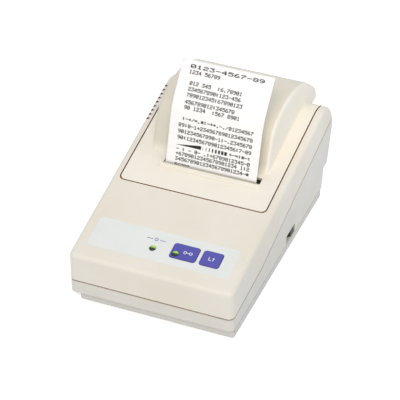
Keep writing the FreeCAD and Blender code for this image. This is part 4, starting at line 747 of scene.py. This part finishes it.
floor_mesh = bpy.data.meshes.new("sweep")
floor_shape = bmesh.new()
sweep(floor_shape)
floor_shape.to_mesh(floor_mesh)
floor_shape.free()
floor = bpy.data.objects.new("floor", floor_mesh)
bpy.context.scene.collection.objects.link(floor)
FLOOR_GLOW = 0.55
floor_paint = Finish("floor_white", (0.77, 0.79, 0.82, 1), 0.9)
floor_paint.shader.inputs["Specular IOR Level"].default_value = 0
floor_paint.tint(floor_paint.cloud(0.3), (0.76, 0.78, 0.81, 1))
rays = floor_paint.tree.nodes.new("ShaderNodeLightPath")
seen = floor_paint.sum(rays.outputs["Is Camera Ray"], rays.outputs["Is Glossy Ray"])
seen = floor_paint.sum(seen, rays.outputs["Is Transmission Ray"])
floor_paint.shader.inputs["Emission Color"].default_value = (1, 1, 1, 1)
glow = floor_paint.sum(seen, FLOOR_GLOW, "MULTIPLY")
floor_paint.link(glow, floor_paint.shader.inputs["Emission Strength"])
floor_mesh.materials.append(floor_paint.material)

sky = bpy.data.worlds.new("studio")
bpy.context.scene.world = sky
sky.use_nodes = True
nodes = sky.node_tree.nodes
path = nodes.new("ShaderNodeLightPath")
room = nodes["Background"]
room.inputs["Color"].default_value = tone(229, 239, 252)
room.inputs["Strength"].default_value = 0.77
white = nodes.new("ShaderNodeBackground")
white.inputs["Color"].default_value = (1, 1, 1, 1)
choice = nodes.new("ShaderNodeMixShader")
seen_or_mirrored = nodes.new("ShaderNodeMath")
any_clear_view = nodes.new("ShaderNodeMath")
links = sky.node_tree.links
links.new(path.outputs["Is Camera Ray"], seen_or_mirrored.inputs[0])
links.new(path.outputs["Is Glossy Ray"], seen_or_mirrored.inputs[1])
links.new(seen_or_mirrored.outputs[0], any_clear_view.inputs[0])
links.new(path.outputs["Is Transmission Ray"], any_clear_view.inputs[1])
links.new(any_clear_view.outputs[0], choice.inputs[0])
links.new(room.outputs[0], choice.inputs[1])
links.new(white.outputs[0], choice.inputs[2])
links.new(choice.outputs[0], nodes["World Output"].inputs["Surface"])


def softbox(name, at, aim, side, power, colour):
    """A rectangular lamp of that width and height and that many watts, facing a point."""
    lamp = bpy.data.lights.new(name, "AREA")
    lamp.shape = "RECTANGLE"
    lamp.size, lamp.size_y = side
    lamp.energy = power
    lamp.color = colour[:3]
    box = bpy.data.objects.new(name, lamp)
    box.location = at
    box.rotation_euler = (Vector(aim) - Vector(at)).to_track_quat("-Z", "Y").to_euler()
    bpy.context.scene.collection.objects.link(box)


KEY_TURN = math.radians(18)
KEY_RISE = math.radians(50)
KEY_AWAY = 1.1
key_at = (KEY_AWAY * math.sin(KEY_TURN) * math.cos(KEY_RISE),
          -KEY_AWAY * math.cos(KEY_TURN) * math.cos(KEY_RISE), KEY_AWAY * math.sin(KEY_RISE))
softbox("key_light", key_at, (0, 0, 0.04), (0.5, 0.5), 4.8, tone(255, 235, 200))
softbox("housing_light", (0.5, 0.02, 0.32), (0.04, 0.05, 0.08), (0.12, 0.12), 0.012,
        tone(255, 240, 214))
bpy.data.lights["housing_light"].spread = math.radians(24)
softbox("rear_fill", (-0.55, 1.0, 0.35), (0, 0.03, 0.04), (0.6, 0.6), 1.6, tone(255, 232, 196))

CAMERA_TURN = math.radians(22.9366)
CAMERA_RISE = math.radians(37.3028)
CAMERA_ROLL = math.radians(-0.7051)
CAMERA_AWAY = 1.26607
aim = Vector((-0.001948, -0.007118, 0.030))
back = Vector((math.sin(CAMERA_TURN) * math.cos(CAMERA_RISE),
               -math.cos(CAMERA_TURN) * math.cos(CAMERA_RISE), math.sin(CAMERA_RISE)))
level = Vector((math.cos(CAMERA_TURN), math.sin(CAMERA_TURN), 0))
steep = back.cross(level)
right = level * math.cos(CAMERA_ROLL) + steep * math.sin(CAMERA_ROLL)
up = steep * math.cos(CAMERA_ROLL) - level * math.sin(CAMERA_ROLL)
eye = bpy.data.cameras.new("camera")
eye.lens = 184.21
eye.sensor_width = 36
eye.clip_end = 20
camera = bpy.data.objects.new("camera", eye)
camera.matrix_world = Matrix.Translation(aim + back * CAMERA_AWAY) @ Matrix(
    (right, up, back)).transposed().to_4x4()
bpy.context.scene.collection.objects.link(camera)
bpy.context.scene.camera = camera
bpy.context.scene.view_settings.view_transform = "Standard"
